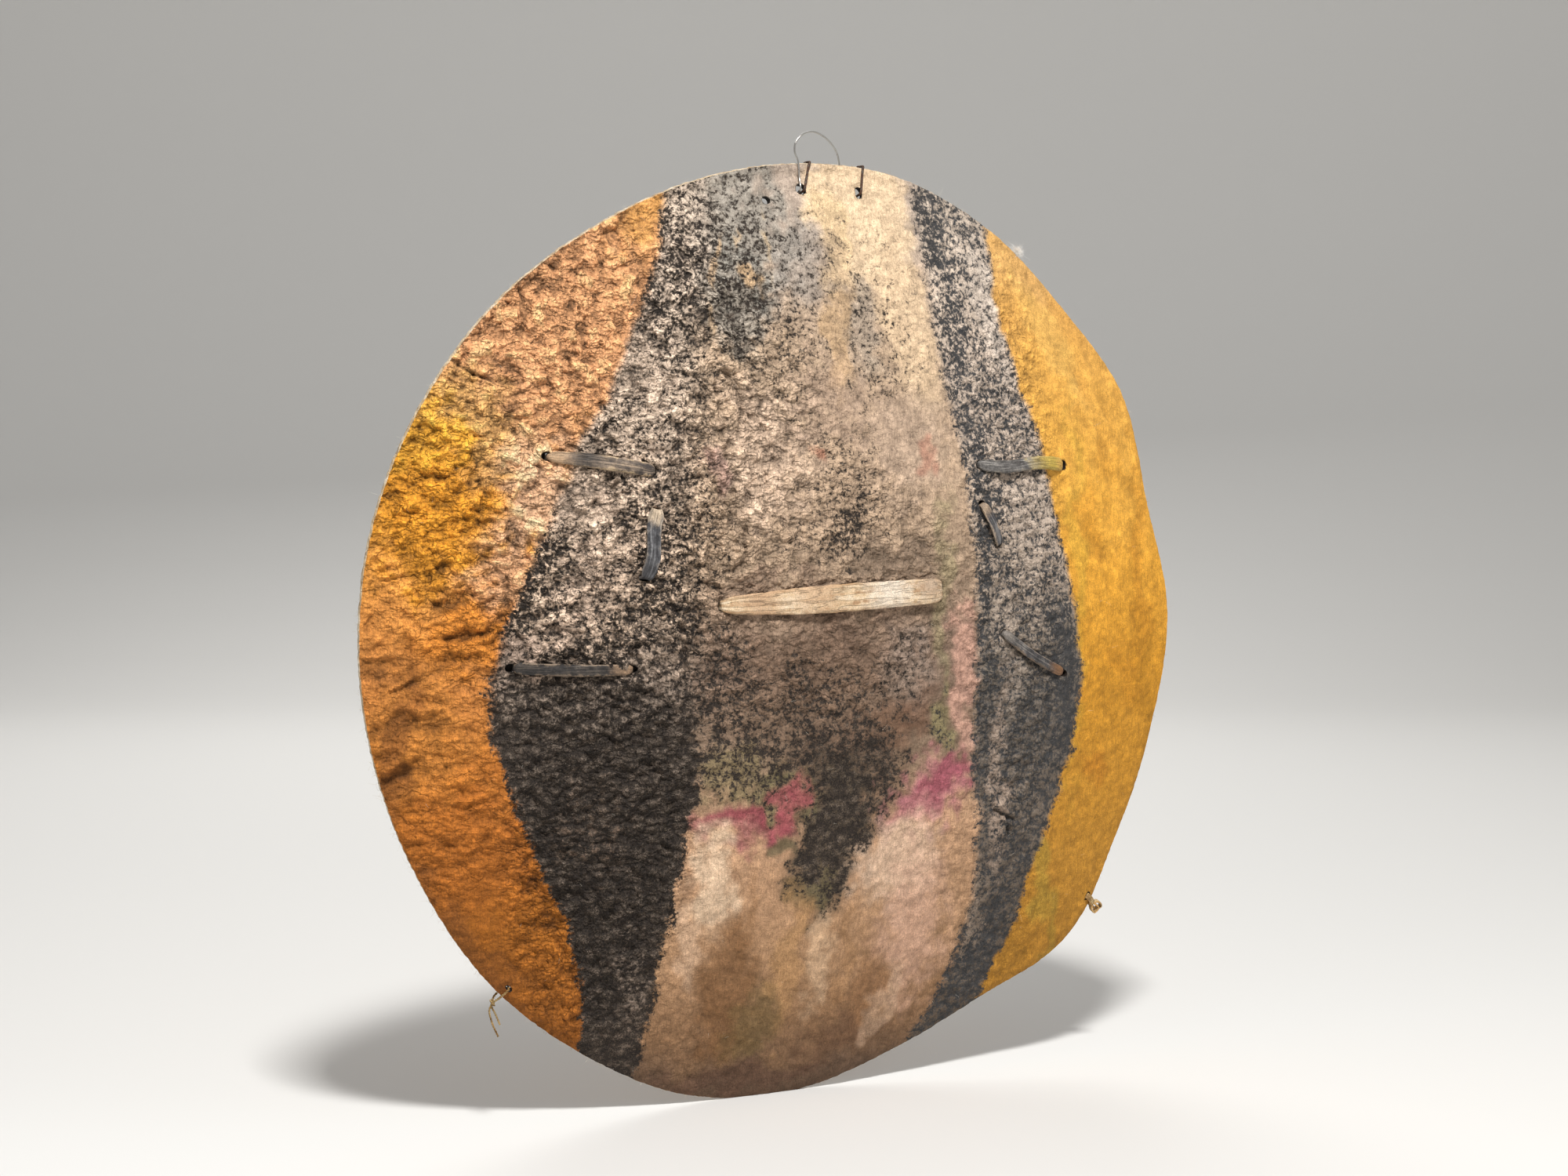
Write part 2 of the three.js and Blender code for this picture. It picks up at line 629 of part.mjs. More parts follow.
function hideGeometry() {
  const positions = [];
  const indices = [];
  const angles = outlineAngles();
  const put = (right, up, back) => {
    positions.push(right, back ? backDepth(right, up) : faceDepth(right, up), up);
  };
  for (const back of [false, true]) {
    put(0, 0, back);
    for (const ringShare of ringShares) {
      for (const angle of angles) {
        const radius = outlineRadius(angle) * ringShare;
        put(radius * Math.cos(angle), Math.max(radius * Math.sin(angle), -centreHeight), back);
      }
    }
  }
  const count = angles.length;
  const sideSize = 1 + ringShares.length * count;
  const at = (back, ring, step) => (back ? sideSize : 0) + 1 + ring * count + (step % count);
  const face = (back, a, b, c) => {
    indices.push(a, ...(back ? [c, b] : [b, c]));
  };
  for (const back of [false, true]) {
    for (let step = 0; step < count; step += 1) {
      face(back, back ? sideSize : 0, at(back, 0, step), at(back, 0, step + 1));
      for (let ring = 0; ring < ringShares.length - 1; ring += 1) {
        face(back, at(back, ring, step), at(back, ring + 1, step), at(back, ring + 1, step + 1));
        face(back, at(back, ring, step), at(back, ring + 1, step + 1), at(back, ring, step + 1));
      }
    }
  }
  const rim = ringShares.length - 1;
  for (let step = 0; step < count; step += 1) {
    const [a, b] = [at(false, rim, step), at(false, rim, step + 1)];
    indices.push(a, at(true, rim, step), b, b, at(true, rim, step), at(true, rim, step + 1));
  }
  const level = new THREE.Vector3(1, 0, 0);
  const tieHoleHeight = hideKnotWidth + 2 * slitPlay;
  const cutters = [
    ovalCutter(leftHole.right, leftHole.up, leftHoleWidth, holeHeight, level),
    ovalCutter(rightHole.right, rightHole.up, rightHoleWidth, holeHeight, level),
    ovalCutter(spareHole.right, spareHole.up, spareHoleWidth, spareHoleWidth, level),
    ...[lowerLeftTieAngle, lowerRightTieAngle].map((angle) => {
      const { right, up } = tieHole(angle);
      return ovalCutter(right, up, tieHoleWidth, tieHoleHeight, new THREE.Vector3(right, 0, up));
    }),
    slitCutter(gripSeat, 0, gripWidth * gripSlitWidthShare, gripThickness, gripOpenSlit),
    slitCutter(gripSeat, 1, gripWidth * gripWidthShares[2], gripThickness, gripOpenSlit),
  ];
  for (const [name, placeShares] of Object.entries(thongPlaceShares)) {
    const seat = stitchSeat(placeShares);
    const endShares = thongWidthShares[name];
    for (const end of [0, 1]) {
      const width = thongWidths[name] * endShares[2 * end];
      cutters.push(slitCutter(seat, end, width, thongThickness, thongOpenSlits[name][end]));
    }
  }
  return cutFrom(solidGeometry(positions, indices), cutters);
}

// A ring through a hole near the rim and over the rim's edge, open by a small joint at the back.
// Its strands lie on the face and on the back, where extra leaves room for what passes behind.
function rimRing(hole, shift, lean, radius, extra) {
  const clear = seatGap + radius;
  const top = hole.right + shift + lean;
  const rim = rimRise(top);
  const low = { right: hole.right + shift, up: hole.up - clear };
  const high = { right: top - lean * 0.2, up: rim - clear };
  const behind = -hideThickness - clear - extra;
  const frontEdge = faceDepth(top, rim - clear) - clear;
  const backEdge = backDepth(top, rim - clear) + clear + extra;
  const through = hidePoint(low.right, low.up, clear);
  const stations = [
    hidePoint(low.right, low.up, behind).add(new THREE.Vector3(0, 0, eyeCornerRadius + eyeJointGap)),
    hidePoint(low.right, low.up, behind),
    through,
    hidePoint(high.right, high.up, clear),
    new THREE.Vector3(top, frontEdge, rim + clear),
    new THREE.Vector3(top, backEdge, rim + clear),
    hidePoint(high.right, high.up, behind),
    hidePoint(low.right, low.up + eyeCornerRadius + 2 * eyeJointGap + 2 * radius, behind),
  ].map((point) => ({ point, width: radius }));
  return roundCorners(stations, eyeCornerRadius).map(({ point }) => point);
}

function eyeGeometry(hole, shift, lean, extra) {
  const points = rimRing(hole, shift, lean, eyeWireRadius, extra);
  return strandGeometry(points, eyeWireRadius, 2 * points.length);
}

// The hanging loop turns on its straight right end, which lies behind the rim, inside the right eye
const loopAxisUp = rimRise(rightHole.right) - loopAxisDrop;
const loopClear = seatGap + loopWireRadius;
const loopLeftFoot = leftHole.right + loopFootShift;
const loopRightFoot = loopLeftFoot + loopWidth;
const loopEnd = rightHole.right + rightEyeLean + loopEndReach;
const loopAxisDepth = Math.max(...[loopRightFoot, rightHole.right, loopEnd].map(
  (right) => backDepth(right, loopAxisUp - loopWireRadius),
)) + loopClear;

function loopGeometry() {
  const rim = rimRise(loopLeftFoot);
  const tail = { right: leftHole.right + loopTailShift, up: leftHole.up - loopTailDrop };
  const lift = loopClear + loopLift;
  const frontDepth = faceDepth(loopLeftFoot, rim - loopClear) - loopClear;
  const arc = loopArcShares.map(([across, rise]) => new THREE.Vector3(
    loopLeftFoot + loopWidth * across,
    THREE.MathUtils.lerp(frontDepth, loopAxisDepth, Math.min(1, Math.max(0, across))),
    rim + loopHeight * rise,
  ));
  const points = [
    hidePoint(tail.right, tail.up, -hideThickness * 0.8),
    hidePoint(tail.right, tail.up, -hideThickness * 0.3),
    hidePoint(tail.right, tail.up + loopWireRadius, lift),
    hidePoint(loopLeftFoot, (tail.up + rim) / 2, lift),
    hidePoint(loopLeftFoot, rim - loopClear, lift),
    ...arc,
    new THREE.Vector3(loopRightFoot, loopAxisDepth, loopAxisUp + 2 * loopClear),
    new THREE.Vector3(loopRightFoot + loopClear, loopAxisDepth, loopAxisUp),
    new THREE.Vector3(rightHole.right - loopClear, loopAxisDepth, loopAxisUp),
    new THREE.Vector3(loopEnd - loopClear, loopAxisDepth, loopAxisUp),
    new THREE.Vector3(loopEnd, loopAxisDepth + loopWireRadius, loopAxisUp),
    new THREE.Vector3(loopEnd + loopWireRadius, loopAxisDepth + loopEndHook, loopAxisUp),
  ];
  return strandGeometry(points, loopWireRadius, loopSteps);
}

// Directions at a place on the rim: outwards, along the rim, and the middle of the edge
function rimPlace(angle) {
  const outwards = new THREE.Vector3(Math.cos(angle), 0, Math.sin(angle));
  const edge = outlineRadius(angle);
  const [right, up] = [edge * Math.cos(angle), edge * Math.sin(angle)];
  const middle = new THREE.Vector3(right, (faceDepth(right, up) + backDepth(right, up)) / 2, up);
  return { outwards, along: new THREE.Vector3(-outwards.z, 0, outwards.x), middle };
}

function ellipsoid(centre, directions, lengths) {
  const ball = new THREE.SphereGeometry(1 / 2, knotSides, knotSides / 2);
  ball.scale(...lengths);
  const basis = new THREE.Matrix4().makeBasis(...directions);
  basis.setPosition(centre);
  return ball.applyMatrix4(basis);
}

// A strand or band through a tie hole and round the rim's edge, with both ends at its knot outside
function rimLoopPoints(angle, radius, reach) {
  const { right, up } = tieHole(angle);
  const { outwards, middle } = rimPlace(angle);
  const clear = seatGap + radius;
  const half = hideThickness / 2 + rimCurlHeight;
  const knot = middle.clone().addScaledVector(outwards, reach);
  return [
    knot,
    middle.clone().addScaledVector(outwards, clear * 1.6).add(new THREE.Vector3(0, -half, 0)),
    hidePoint(right, up, clear * 1.2),
    hidePoint(right, up, -hideThickness - clear * 1.2),
    middle.clone().addScaledVector(outwards, clear * 1.6).add(new THREE.Vector3(0, half, 0)),
    knot,
  ];
}

function sinewTieGeometry() {
  const { outwards, along, middle } = rimPlace(lowerLeftTieAngle);
  const knot = middle.clone().addScaledVector(outwards, sinewReach);
  const down = new THREE.Vector3(0, 0, -1);
  const tail = (length, lean) => strandGeometry([
    knot,
    knot.clone().addScaledVector(down, length / 2).addScaledVector(along, -lean / 3),
    knot.clone().addScaledVector(down, length).addScaledVector(along, lean),
  ], sinewRadius, 5);
  const path = rimLoopPoints(lowerLeftTieAngle, sinewRadius, sinewReach);
  const stations = path.map((point) => ({ point, width: sinewRadius }));
  const ring = roundCorners(stations, sinewRadius * 2).map(({ point }) => point);
  const depth = new THREE.Vector3(0, 1, 0);
  const directions = [outwards, depth, outwards.clone().cross(depth)];
  return joinAll([
    strandGeometry(ring, sinewRadius, ring.length),
    ellipsoid(knot, directions, [sinewKnotLength, sinewKnotWidth, sinewKnotWidth]),
    tail(sinewTailLength, sinewTailLean),
    tail(sinewShortTail, sinewTailLean * 1.4),
  ]);
}

function hideKnotGeometry() {
  const { outwards, along, middle } = rimPlace(lowerRightTieAngle);
  const path = rimLoopPoints(lowerRightTieAngle, hideKnotThickness / 2, hideKnotReach);
  const stations = path.map((point) => ({ point, width: hideKnotWidth }));
  const depth = new THREE.Vector3(0, 1, 0);
  const directions = [outwards, depth, outwards.clone().cross(depth)];
  const lobes = [0, 1].map((step) => ellipsoid(
    middle.clone()
      .addScaledVector(outwards, hideKnotReach * (1 + step * 0.75))
      .addScaledVector(along, hideKnotThickness * (step - 1 / 2)),
    directions,
    [hideKnotLobe * 0.8, hideKnotHeight, hideKnotLobe],
  ));
  return joinAll([
    bandGeometry(roundCorners(stations, hideKnotThickness * 1.5), along, hideKnotThickness),
    ...lobes,
  ]);
}

function tuftGeometry() {
  const { outwards, along, middle } = rimPlace(tuftAngle);
  const depth = new THREE.Vector3(0, 1, 0);
  const centre = middle.clone().addScaledVector(outwards, tuftHeight / 2 + seatGap);
  const basis = [along, depth, along.clone().cross(depth)];
  return ellipsoid(centre, basis, [tuftLength, tuftDepth, tuftHeight]);
}

const shield = new THREE.Group();
const disc = new THREE.Group();
disc.position.set(-restMiddle, -restMiddleDepth, centreHeight);
shield.add(disc);

function add(name, geometry, colour, roughness, metalness = 0) {
  const material = new THREE.MeshStandardMaterial({ color: colour, roughness, metalness });
  const mesh = new THREE.Mesh(geometry, material);
  mesh.name = name;
  disc.add(mesh);
}

const strapWidthOf = {
  upper_left_thong: armStrapWidth,
  lower_left_thong: armStrapWidth,
  upper_right_thong: armStrapWidth,
  lower_right_thong: armStrapWidth,
  left_upright_thong: carryingStrapWidth,
  right_upright_thong: carryingStrapWidth,
};
const thongColours = {
  upper_left_thong: '#8c7a68',
  left_upright_thong: '#5c5c60',
  lower_left_thong: '#4a423c',
  upper_right_thong: '#8a827a',
  right_upright_thong: '#625e5e',
  lower_right_thong: '#66605c',
};

add('hide_disc', hideGeometry(), '#c08a4c', 0.9);
add('grip_band', gripBandGeometry(gripSeat), '#e2cba4', 0.75);
add('grip_wrap', gripWrapGeometry(gripSeat), '#6b4a32', 0.8);
for (const [name, colour] of Object.entries(thongColours)) {
  add(name, thongGeometry(name, strapWidthOf[name]), colour, 0.7);
  add(name.replace('thong', 'lashing'), lashingGeometry(name, strapWidthOf[name]), '#b99b6c', 0.6);
}
for (const side of ['left', 'right']) {
  const ends = [`upper_${side}_thong`, `lower_${side}_thong`];
  const armStrap = strapGeometry(...ends, armStrapWidth, armStrapRise, armStrapMidHandle, 0);
  add(`${side}_arm_strap`, armStrap, '#7a5a40', 0.8);
}
add('carrying_strap', strapGeometry(
  'left_upright_thong',
  'right_upright_thong',
  carryingStrapWidth,
  carryingStrapRise,
  carryingStrapMidHandle,
  carryingStrapDip,
), '#80634a', 0.8);
const loopRoom = 2 * loopWireRadius + seatGap;
add('left_wire_eye', eyeGeometry(leftHole, leftEyeShift, leftEyeLean, 0), '#7d726a', 0.5, 0.9);
add('right_wire_eye', eyeGeometry(rightHole, 0, rightEyeLean, loopRoom), '#7d726a', 0.5, 0.9);
add('hanging_wire_loop', loopGeometry(), '#b8b6b2', 0.35, 1);
add('lower_left_sinew_tie', sinewTieGeometry(), '#bda06a', 0.6);
add('lower_right_hide_knot', hideKnotGeometry(), '#d9b98a', 0.7);
add('upper_right_down_tuft', tuftGeometry(), '#efe8dc', 0.95);

export default shield;
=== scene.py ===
"""Looks of the painted rawhide shield: the painted disc, its hide thongs, straps, grip, wires and ties."""
import math

import bmesh
import bpy
import numpy as np
from mathutils import Matrix, Vector


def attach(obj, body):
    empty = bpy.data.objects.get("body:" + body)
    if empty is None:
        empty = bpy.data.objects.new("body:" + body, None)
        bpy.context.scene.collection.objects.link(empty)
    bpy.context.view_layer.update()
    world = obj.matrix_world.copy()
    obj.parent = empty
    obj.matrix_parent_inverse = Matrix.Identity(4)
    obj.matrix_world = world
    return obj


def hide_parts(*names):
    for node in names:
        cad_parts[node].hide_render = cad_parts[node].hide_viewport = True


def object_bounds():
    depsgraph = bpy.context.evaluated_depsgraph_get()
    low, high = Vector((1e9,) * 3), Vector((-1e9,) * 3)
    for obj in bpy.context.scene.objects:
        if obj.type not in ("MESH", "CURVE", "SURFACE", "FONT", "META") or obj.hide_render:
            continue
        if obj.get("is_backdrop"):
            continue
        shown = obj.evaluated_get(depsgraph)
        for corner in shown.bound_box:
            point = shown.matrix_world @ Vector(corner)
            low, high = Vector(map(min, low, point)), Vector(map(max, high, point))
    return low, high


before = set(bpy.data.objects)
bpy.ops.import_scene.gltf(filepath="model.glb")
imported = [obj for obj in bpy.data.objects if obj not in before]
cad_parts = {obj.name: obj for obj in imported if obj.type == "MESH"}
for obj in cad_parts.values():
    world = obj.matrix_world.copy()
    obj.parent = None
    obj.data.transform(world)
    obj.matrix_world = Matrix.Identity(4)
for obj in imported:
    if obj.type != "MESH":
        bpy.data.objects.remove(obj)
cad_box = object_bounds()

MM = 0.001
# Middle of the disc's rim plane in the frame, in mm. Places on the disc are (right, up) from here.
DISC = np.array([18.604, -1.946, 282.101])

# The disc, as it is in the CAD part, in mm
HIDE_RADIUS = 280
DOME_HEIGHT = 50
HIDE_THICKNESS = 4.5
RIM_CURL_HEIGHT = 2.5
RIM_CURL_WIDTH = 14
FLAT_HEIGHT = 282.101
OUTLINE_SHARES = (
    1.007, 0.98, 1.008, 0.995, 1.009, 1.017, 1.003, 0.989, 0.982, 0.99, 0.997, 1.006,
    1.005, 1, 0.998, 1.007, 1.01, 1.022, 1.009, 0.98, 0.981, 1.033, 1.002, 0.997,
)
RIM_CURL_SHARES = (
    0.1, 0, 0, 0, 0.2, 0.5, 0.9, 1, 1, 1, 1, 0.8,
    0.5, 0.2, -0.3, -0.6, -0.3, 0, 0, 0, 0, 0, 0.1, 0.1,
)
SEAT_GAP = 0.35
SLIT_PLAY = 0.3


# Places on the disc

def around(shares, angle):
    """Smoothly blended value of a table of shares that goes round the disc."""
    table = np.array(shares)
    place = np.asarray(angle) / (2 * math.pi) * len(table)
    start = np.floor(place).astype(int)
    blend = place - start
    before, first, second, after = (table[(start + step) % len(table)] for step in (-1, 0, 1, 2))
    slope = (second - before) / 2
    bend = before - 2.5 * first + 2 * second - after / 2
    twist = (after - before) / 2 + 1.5 * (first - second)
    return first + blend * (slope + blend * (bend + blend * twist))


def outline_radius(angle):
    return HIDE_RADIUS * around(OUTLINE_SHARES, angle)


def face_depth(right, up):
    """How far the face lies behind the plane of the rim: negative, as the dome stands in front of it."""
    radius = np.hypot(right, up)
    angle = np.arctan2(up, right)
    edge = outline_radius(angle)
    curl = np.maximum(0, (radius - edge + RIM_CURL_WIDTH) / RIM_CURL_WIDTH) ** 2
    curl_height = RIM_CURL_HEIGHT * around(RIM_CURL_SHARES, angle)
    return -DOME_HEIGHT * (1 - (radius / edge) ** 2) - curl_height * curl


def unit(vectors):
    return vectors / np.linalg.norm(vectors, axis=-1, keepdims=True)


def face_normal(right, up):
    probe = 0.5
    slope_right = face_depth(right + probe, up) - face_depth(right - probe, up)
    slope_up = face_depth(right, up + probe) - face_depth(right, up - probe)
    return unit(np.stack([slope_right, np.full_like(slope_right, -2 * probe), slope_up], axis=-1))


def back_depth(right, up):
    return float(face_depth(right, up) - HIDE_THICKNESS / face_normal(right, up)[1])


def hide_point(right, up, lift):
    """The point so far in front of the face, or behind it where lift is negative."""
    right, up = np.asarray(right, float), np.asarray(up, float)
    point = np.stack([right, face_depth(right, up), up], axis=-1)
    return point + face_normal(right, up) * np.asarray(lift, float)[..., None]


def rim_rise(right):
    angle = math.pi / 2
    for _ in range(12):
        angle = math.acos(right / outline_radius(angle))
    return float(outline_radius(angle) * math.sin(angle))


def grain(right, up, size, seed, octaves=1):
    """Smooth random relief between about -1 and 1, whose lumps are about the given size in mm."""
    right, up = np.broadcast_arrays(np.asarray(right, float), np.asarray(up, float))
    total, weight = 0, 0
    for octave in range(octaves):
        slopes = np.random.default_rng(seed + 17 * octave).uniform(0, 2 * math.pi, (128, 128))
        turn, scale = 0.6 + 1.1 * octave + seed, 2 ** octave / size
        x = (right * math.cos(turn) + up * math.sin(turn)) * scale + 41.3
        y = (up * math.cos(turn) - right * math.sin(turn)) * scale + 17.7
        column, row = np.floor(x).astype(int), np.floor(y).astype(int)
        x, y = x - column, y - row
        corners = []
        for i in (0, 1):
            for j in (0, 1):
                lean = slopes[(column + i) % 128, (row + j) % 128]
                corners.append(np.cos(lean) * (x - i) + np.sin(lean) * (y - j))
        x, y = x ** 3 * (x * (6 * x - 15) + 10), y ** 3 * (y * (6 * y - 15) + 10)
        low = corners[0] * (1 - y) + corners[1] * y
        high = corners[2] * (1 - y) + corners[3] * y
        total = total + (low * (1 - x) + high * x) / 2 ** octave
        weight += 1 / 2 ** octave
    return total / weight * 1.9


def step_between(low, high, value):
    share = np.clip((value - low) / (high - low), 0, 1)
    return share * share * (3 - 2 * share)


# Meshes and materials

def colour(code):
    """An sRGB hex colour as linear red, green, blue and alpha."""
    parts = [int(code[start:start + 2], 16) / 255 for start in (1, 3, 5)]
    return tuple(part / 12.92 if part <= 0.04045 else ((part + 0.055) / 1.055) ** 2.4
                 for part in parts) + (1,)


def put(tree, kind, *inputs, out=0, stops=None, named=None, **settings):
    """Adds a node with its settings and links, and gives its output."""
    made = tree.nodes.new("ShaderNode" + kind)
    for key, value in settings.items():
        setattr(made, key, value)
    if stops:
        ramp = made.color_ramp.elements
        while len(ramp) < len(stops):
            ramp.new(1)
        for element, (place, shade) in zip(ramp, stops):
            element.position = place
            element.color = colour(shade)
    for key, value in [*enumerate(inputs), *(named or {}).items()]:
        if value is None:
            continue
        if isinstance(value, bpy.types.NodeSocket):
            tree.links.new(value, made.inputs[key])
        else:
            made.inputs[key].default_value = colour(value) if isinstance(value, str) else value
    return made.outputs[out] if len(made.outputs) else None


# Settings of a node that mixes two colours, and of one that multiplies them
BLEND = {"data_type": "RGBA", "out": 2}
TIMES = {**BLEND, "blend_type": "MULTIPLY"}


def new_material(name):
    material = bpy.data.materials.new(name)
    material.use_nodes = True
    tree = material.node_tree
    tree.nodes.clear()
    return material, tree


def in_scene(name, data):
    thing = bpy.data.objects.new(name, data)
    bpy.context.scene.collection.objects.link(thing)
    return thing


def mesh_object(name, vertices, faces, materials, smooth=True, body="shield", uvs=None):
    """An object from points in disc millimetres."""
    mesh = bpy.data.meshes.new(name)
    mesh.from_pydata((np.asarray(vertices) + DISC) * MM, [], faces)
    for material in materials:
        mesh.materials.append(material)
    if uvs is not None:
        layer = mesh.uv_layers.new(name="strip")
        index = np.empty(len(mesh.loops), int)
        mesh.loops.foreach_get("vertex_index", index)
        layer.data.foreach_set("uv", np.asarray(uvs, float)[index].ravel())
    mesh.validate()
    piece = in_scene(name, mesh)
    if smooth:
        mesh.shade_smooth()
    if body:
        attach(piece, body)
    return piece


def combine(parts):
    """Joins several (vertices, faces, uvs) into one."""
    vertices, faces, uvs, base = [], [], [], 0
    for part_vertices, part_faces, part_uvs in parts:
        vertices.append(part_vertices)
        uvs.append(part_uvs)
        faces += [[corner + base for corner in face] for face in part_faces]
        base += len(part_vertices)
    return np.concatenate(vertices), faces, np.concatenate(uvs)


def between_loops(near, far):
    """Four-cornered faces between two closed loops of corners."""
    near, far = [int(corner) for corner in near], [int(corner) for corner in far]
    return [list(corners) for corners in zip(near, near[1:] + near[:1], far[1:] + far[:1], far)]


def run_lengths(points):
    """How far along a path each of its points lies."""
    return np.concatenate([[0], np.cumsum(np.linalg.norm(np.diff(points, axis=0), axis=1))])


def spread_along(places, lengths, values):
    return np.stack([np.interp(places, lengths, column) for column in np.asarray(values, float).T], axis=1)


def resample(points, spacing, *others):
    """Evenly spaced points along a path, with other values that vary along it."""
    lengths = run_lengths(points)
    places = np.linspace(0, lengths[-1], max(3, int(round(lengths[-1] / spacing)) + 1))
    return (*[spread_along(places, lengths, values) for values in (points, *others)], places)


def soften(values, passes):
    """Rounds a path's corners while its ends stay."""
    values = np.array(values, float)
    for _ in range(passes):
        values[1:-1] = values[1:-1] / 2 + (values[:-2] + values[2:]) / 4
    return values


def swept(points, side, section):
    """A mesh swept along points. The section gives, per station, its corners as (sideways, outwards)."""
    points = np.asarray(points, float)
    along = unit(np.gradient(points, axis=0))
    side = unit(side - along * np.sum(side * along, axis=1, keepdims=True))
    outwards = np.cross(along, side)
    rings = points[:, None] + side[:, None] * section[..., :1] + outwards[:, None] * section[..., 1:2]
    loops = np.arange(rings.shape[0] * rings.shape[1]).reshape(rings.shape[:2]).tolist()
    faces = [face for near, far in zip(loops, loops[1:]) for face in between_loops(near, far)]
    return rings.reshape(-1, 3), [*faces, loops[0][::-1], loops[-1]]


def free_sides(points):
    """Directions square to a path that turn as little as they can."""
    along = unit(np.gradient(np.asarray(points, float), axis=0))
    sides = [np.cross(along[0], [0.3, 0.9, 0.2])]
    for direction in along:
        sides.append(unit(sides[-1] - direction * np.dot(sides[-1], direction)))
    return np.array(sides[1:])


def squared(values, power):
    """Bends the cosines and sines of a circle into those of a box with soft corners."""
    return np.copysign(np.abs(values) ** power, values)


def turn_of(count):
    """Angles of so many corners, once round."""
    return np.arange(count) / count * 2 * math.pi


def round_section(reach, sides):
    angles = turn_of(sides)
    return np.stack([reach * np.cos(angles), reach * np.sin(angles)], axis=-1)


def strip_uvs(places, across):
    """For each corner, how far along its strip it lies, in metres, and how far across, from 0 to 1."""
    return np.stack(np.broadcast_arrays(places[:, None] * MM, across), axis=-1).reshape(-1, 2)


def wire(points, radius, sides, spacing, rounding, seed, waver=0.0):
    """A round strand along a path, with blunt ends and an uneven radius."""
    points, places = resample(points, spacing)
    points = soften(points, rounding)
    radii = radius * (1 + waver * grain(places, places * 0 + seed, 2.5, seed, 2))
    fade = np.minimum(1, np.minimum(places, places[-1] - places + 1e-6) / (radii.max() * 0.8) + 0.4)
    reach = (radii * np.sqrt(np.clip(fade, 0.05, 1)))[:, None]
    vertices, faces = swept(points, free_sides(points), round_section(reach, sides))
    return vertices, faces, strip_uvs(places, turn_of(sides) / (2 * math.pi))


def hide_strip(points, sides, widths, thickness, seed, spacing, rounding=2, cup=0.0, lumps=0.2, nicks=0.05,
               corners=22):
    """A flat strip of hide along a path, with soft edges, uneven width and a lumpy surface."""
    points, sides, widths, places = resample(points, spacing, sides, np.asarray(widths, float)[:, None])
    points, sides, width = (soften(values, rounding) for values in (points, sides, widths))
    tip = np.minimum(1, (np.minimum(places, places[-1] - places) + 0.3) / thickness)[:, None]
    width = width * (1 + nicks * grain(places, places * 0 + seed, 7, seed, 3))[:, None]
    width = width * (0.72 + 0.28 * np.sqrt(tip))
    across = squared(np.cos(turn_of(corners)), 0.42)
    out = squared(np.sin(turn_of(corners)), 0.6)
    spread = across * width / 2
    run = places[:, None] + 0 * spread
    depth = thickness / 2 * out * (0.55 + 0.45 * np.sqrt(tip))
    depth = depth * (1 + 0.25 * grain(run, spread, 5, seed + 3, 2))
    depth = depth + cup * (spread / (width / 2 + 0.01)) ** 2
    depth = depth + lumps * grain(run, spread + out * 9, 3.2, seed + 5, 3)
    vertices, faces = swept(points, sides, np.stack([spread, depth], axis=-1))
    return vertices, faces, strip_uvs(places, across / 2 + 0.5)


# Camera, floor and light

camera = in_scene("camera", bpy.data.cameras.new("camera"))
camera.data.sensor_width = 36
camera.data.lens = 76.07
camera.location = (-0.9815, -1.734, 0.4501)
camera.rotation_euler = (math.radians(90 - 4.06), 0, math.radians(-30) + math.radians(0.122))
bpy.context.scene.camera = camera

# Matt studio paper: pale, with a soft shadow of the shield
floor_material, tree = new_material("pale matt paper")
put(tree, "OutputMaterial", put(tree, "BsdfPrincipled", named={"Base Color": "#DAD8D4", "Roughness": 0.85}))
# The paper lies flat, turns up behind the shield on a radius of 1.2 m and ends 4 m high
sweep = [(2.2 + 1.2 * math.sin(a), 1.2 - 1.2 * math.cos(a)) for a in np.linspace(0.1, math.pi / 2, 12)]
rows = [(-3, 0), (2.2, 0), *sweep, (3.4, 4)]
turn = Matrix.Rotation(math.radians(-30), 4, "Z")
floor_mesh = bpy.data.meshes.new("floor_and_backdrop")
floor_mesh.from_pydata([turn @ Vector((side, depth, height)) for depth, height in rows for side in (-6, 6)],
                       [], [(row, row + 1, row + 3, row + 2) for row in range(0, 2 * len(rows) - 2, 2)])
floor_mesh.materials.append(floor_material)
floor_mesh.shade_smooth()
floor = in_scene("floor_and_backdrop", floor_mesh)
floor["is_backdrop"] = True

for name, place, size, power in (
    ("key", (-0.5, -1.4, 2.4), 0.35, 86),
    ("fill_left", (-2.6, -0.9, 1.0), 1.6, 6),
    ("fill_right", (1.9, -1.9, 1.2), 1.6, 8),
    ("back_light", (0.9, 2.0, 1.6), 1.4, 26),
):
    lamp = in_scene(name, bpy.data.lights.new(name, "AREA"))
    lamp.data.energy = power
    lamp.data.size = size
    lamp.location = place
    lamp.rotation_euler = (Vector((0, 0, 0.28)) - Vector(place)).to_track_quat("-Z", "Y").to_euler()

world = bpy.data.worlds.new("studio")
bpy.context.scene.world = world
world.use_nodes = True
world.node_tree.nodes["Background"].inputs["Color"].default_value = (1, 1, 1, 1)
world.node_tree.nodes["Background"].inputs["Strength"].default_value = 0.2
bpy.context.scene.view_settings.view_transform = "Standard"


# Painted rawhide

# A stain of this paint is black specks over the paint below it
SOOT = "#262321"
BARE_HIDE = "#C9AE92"
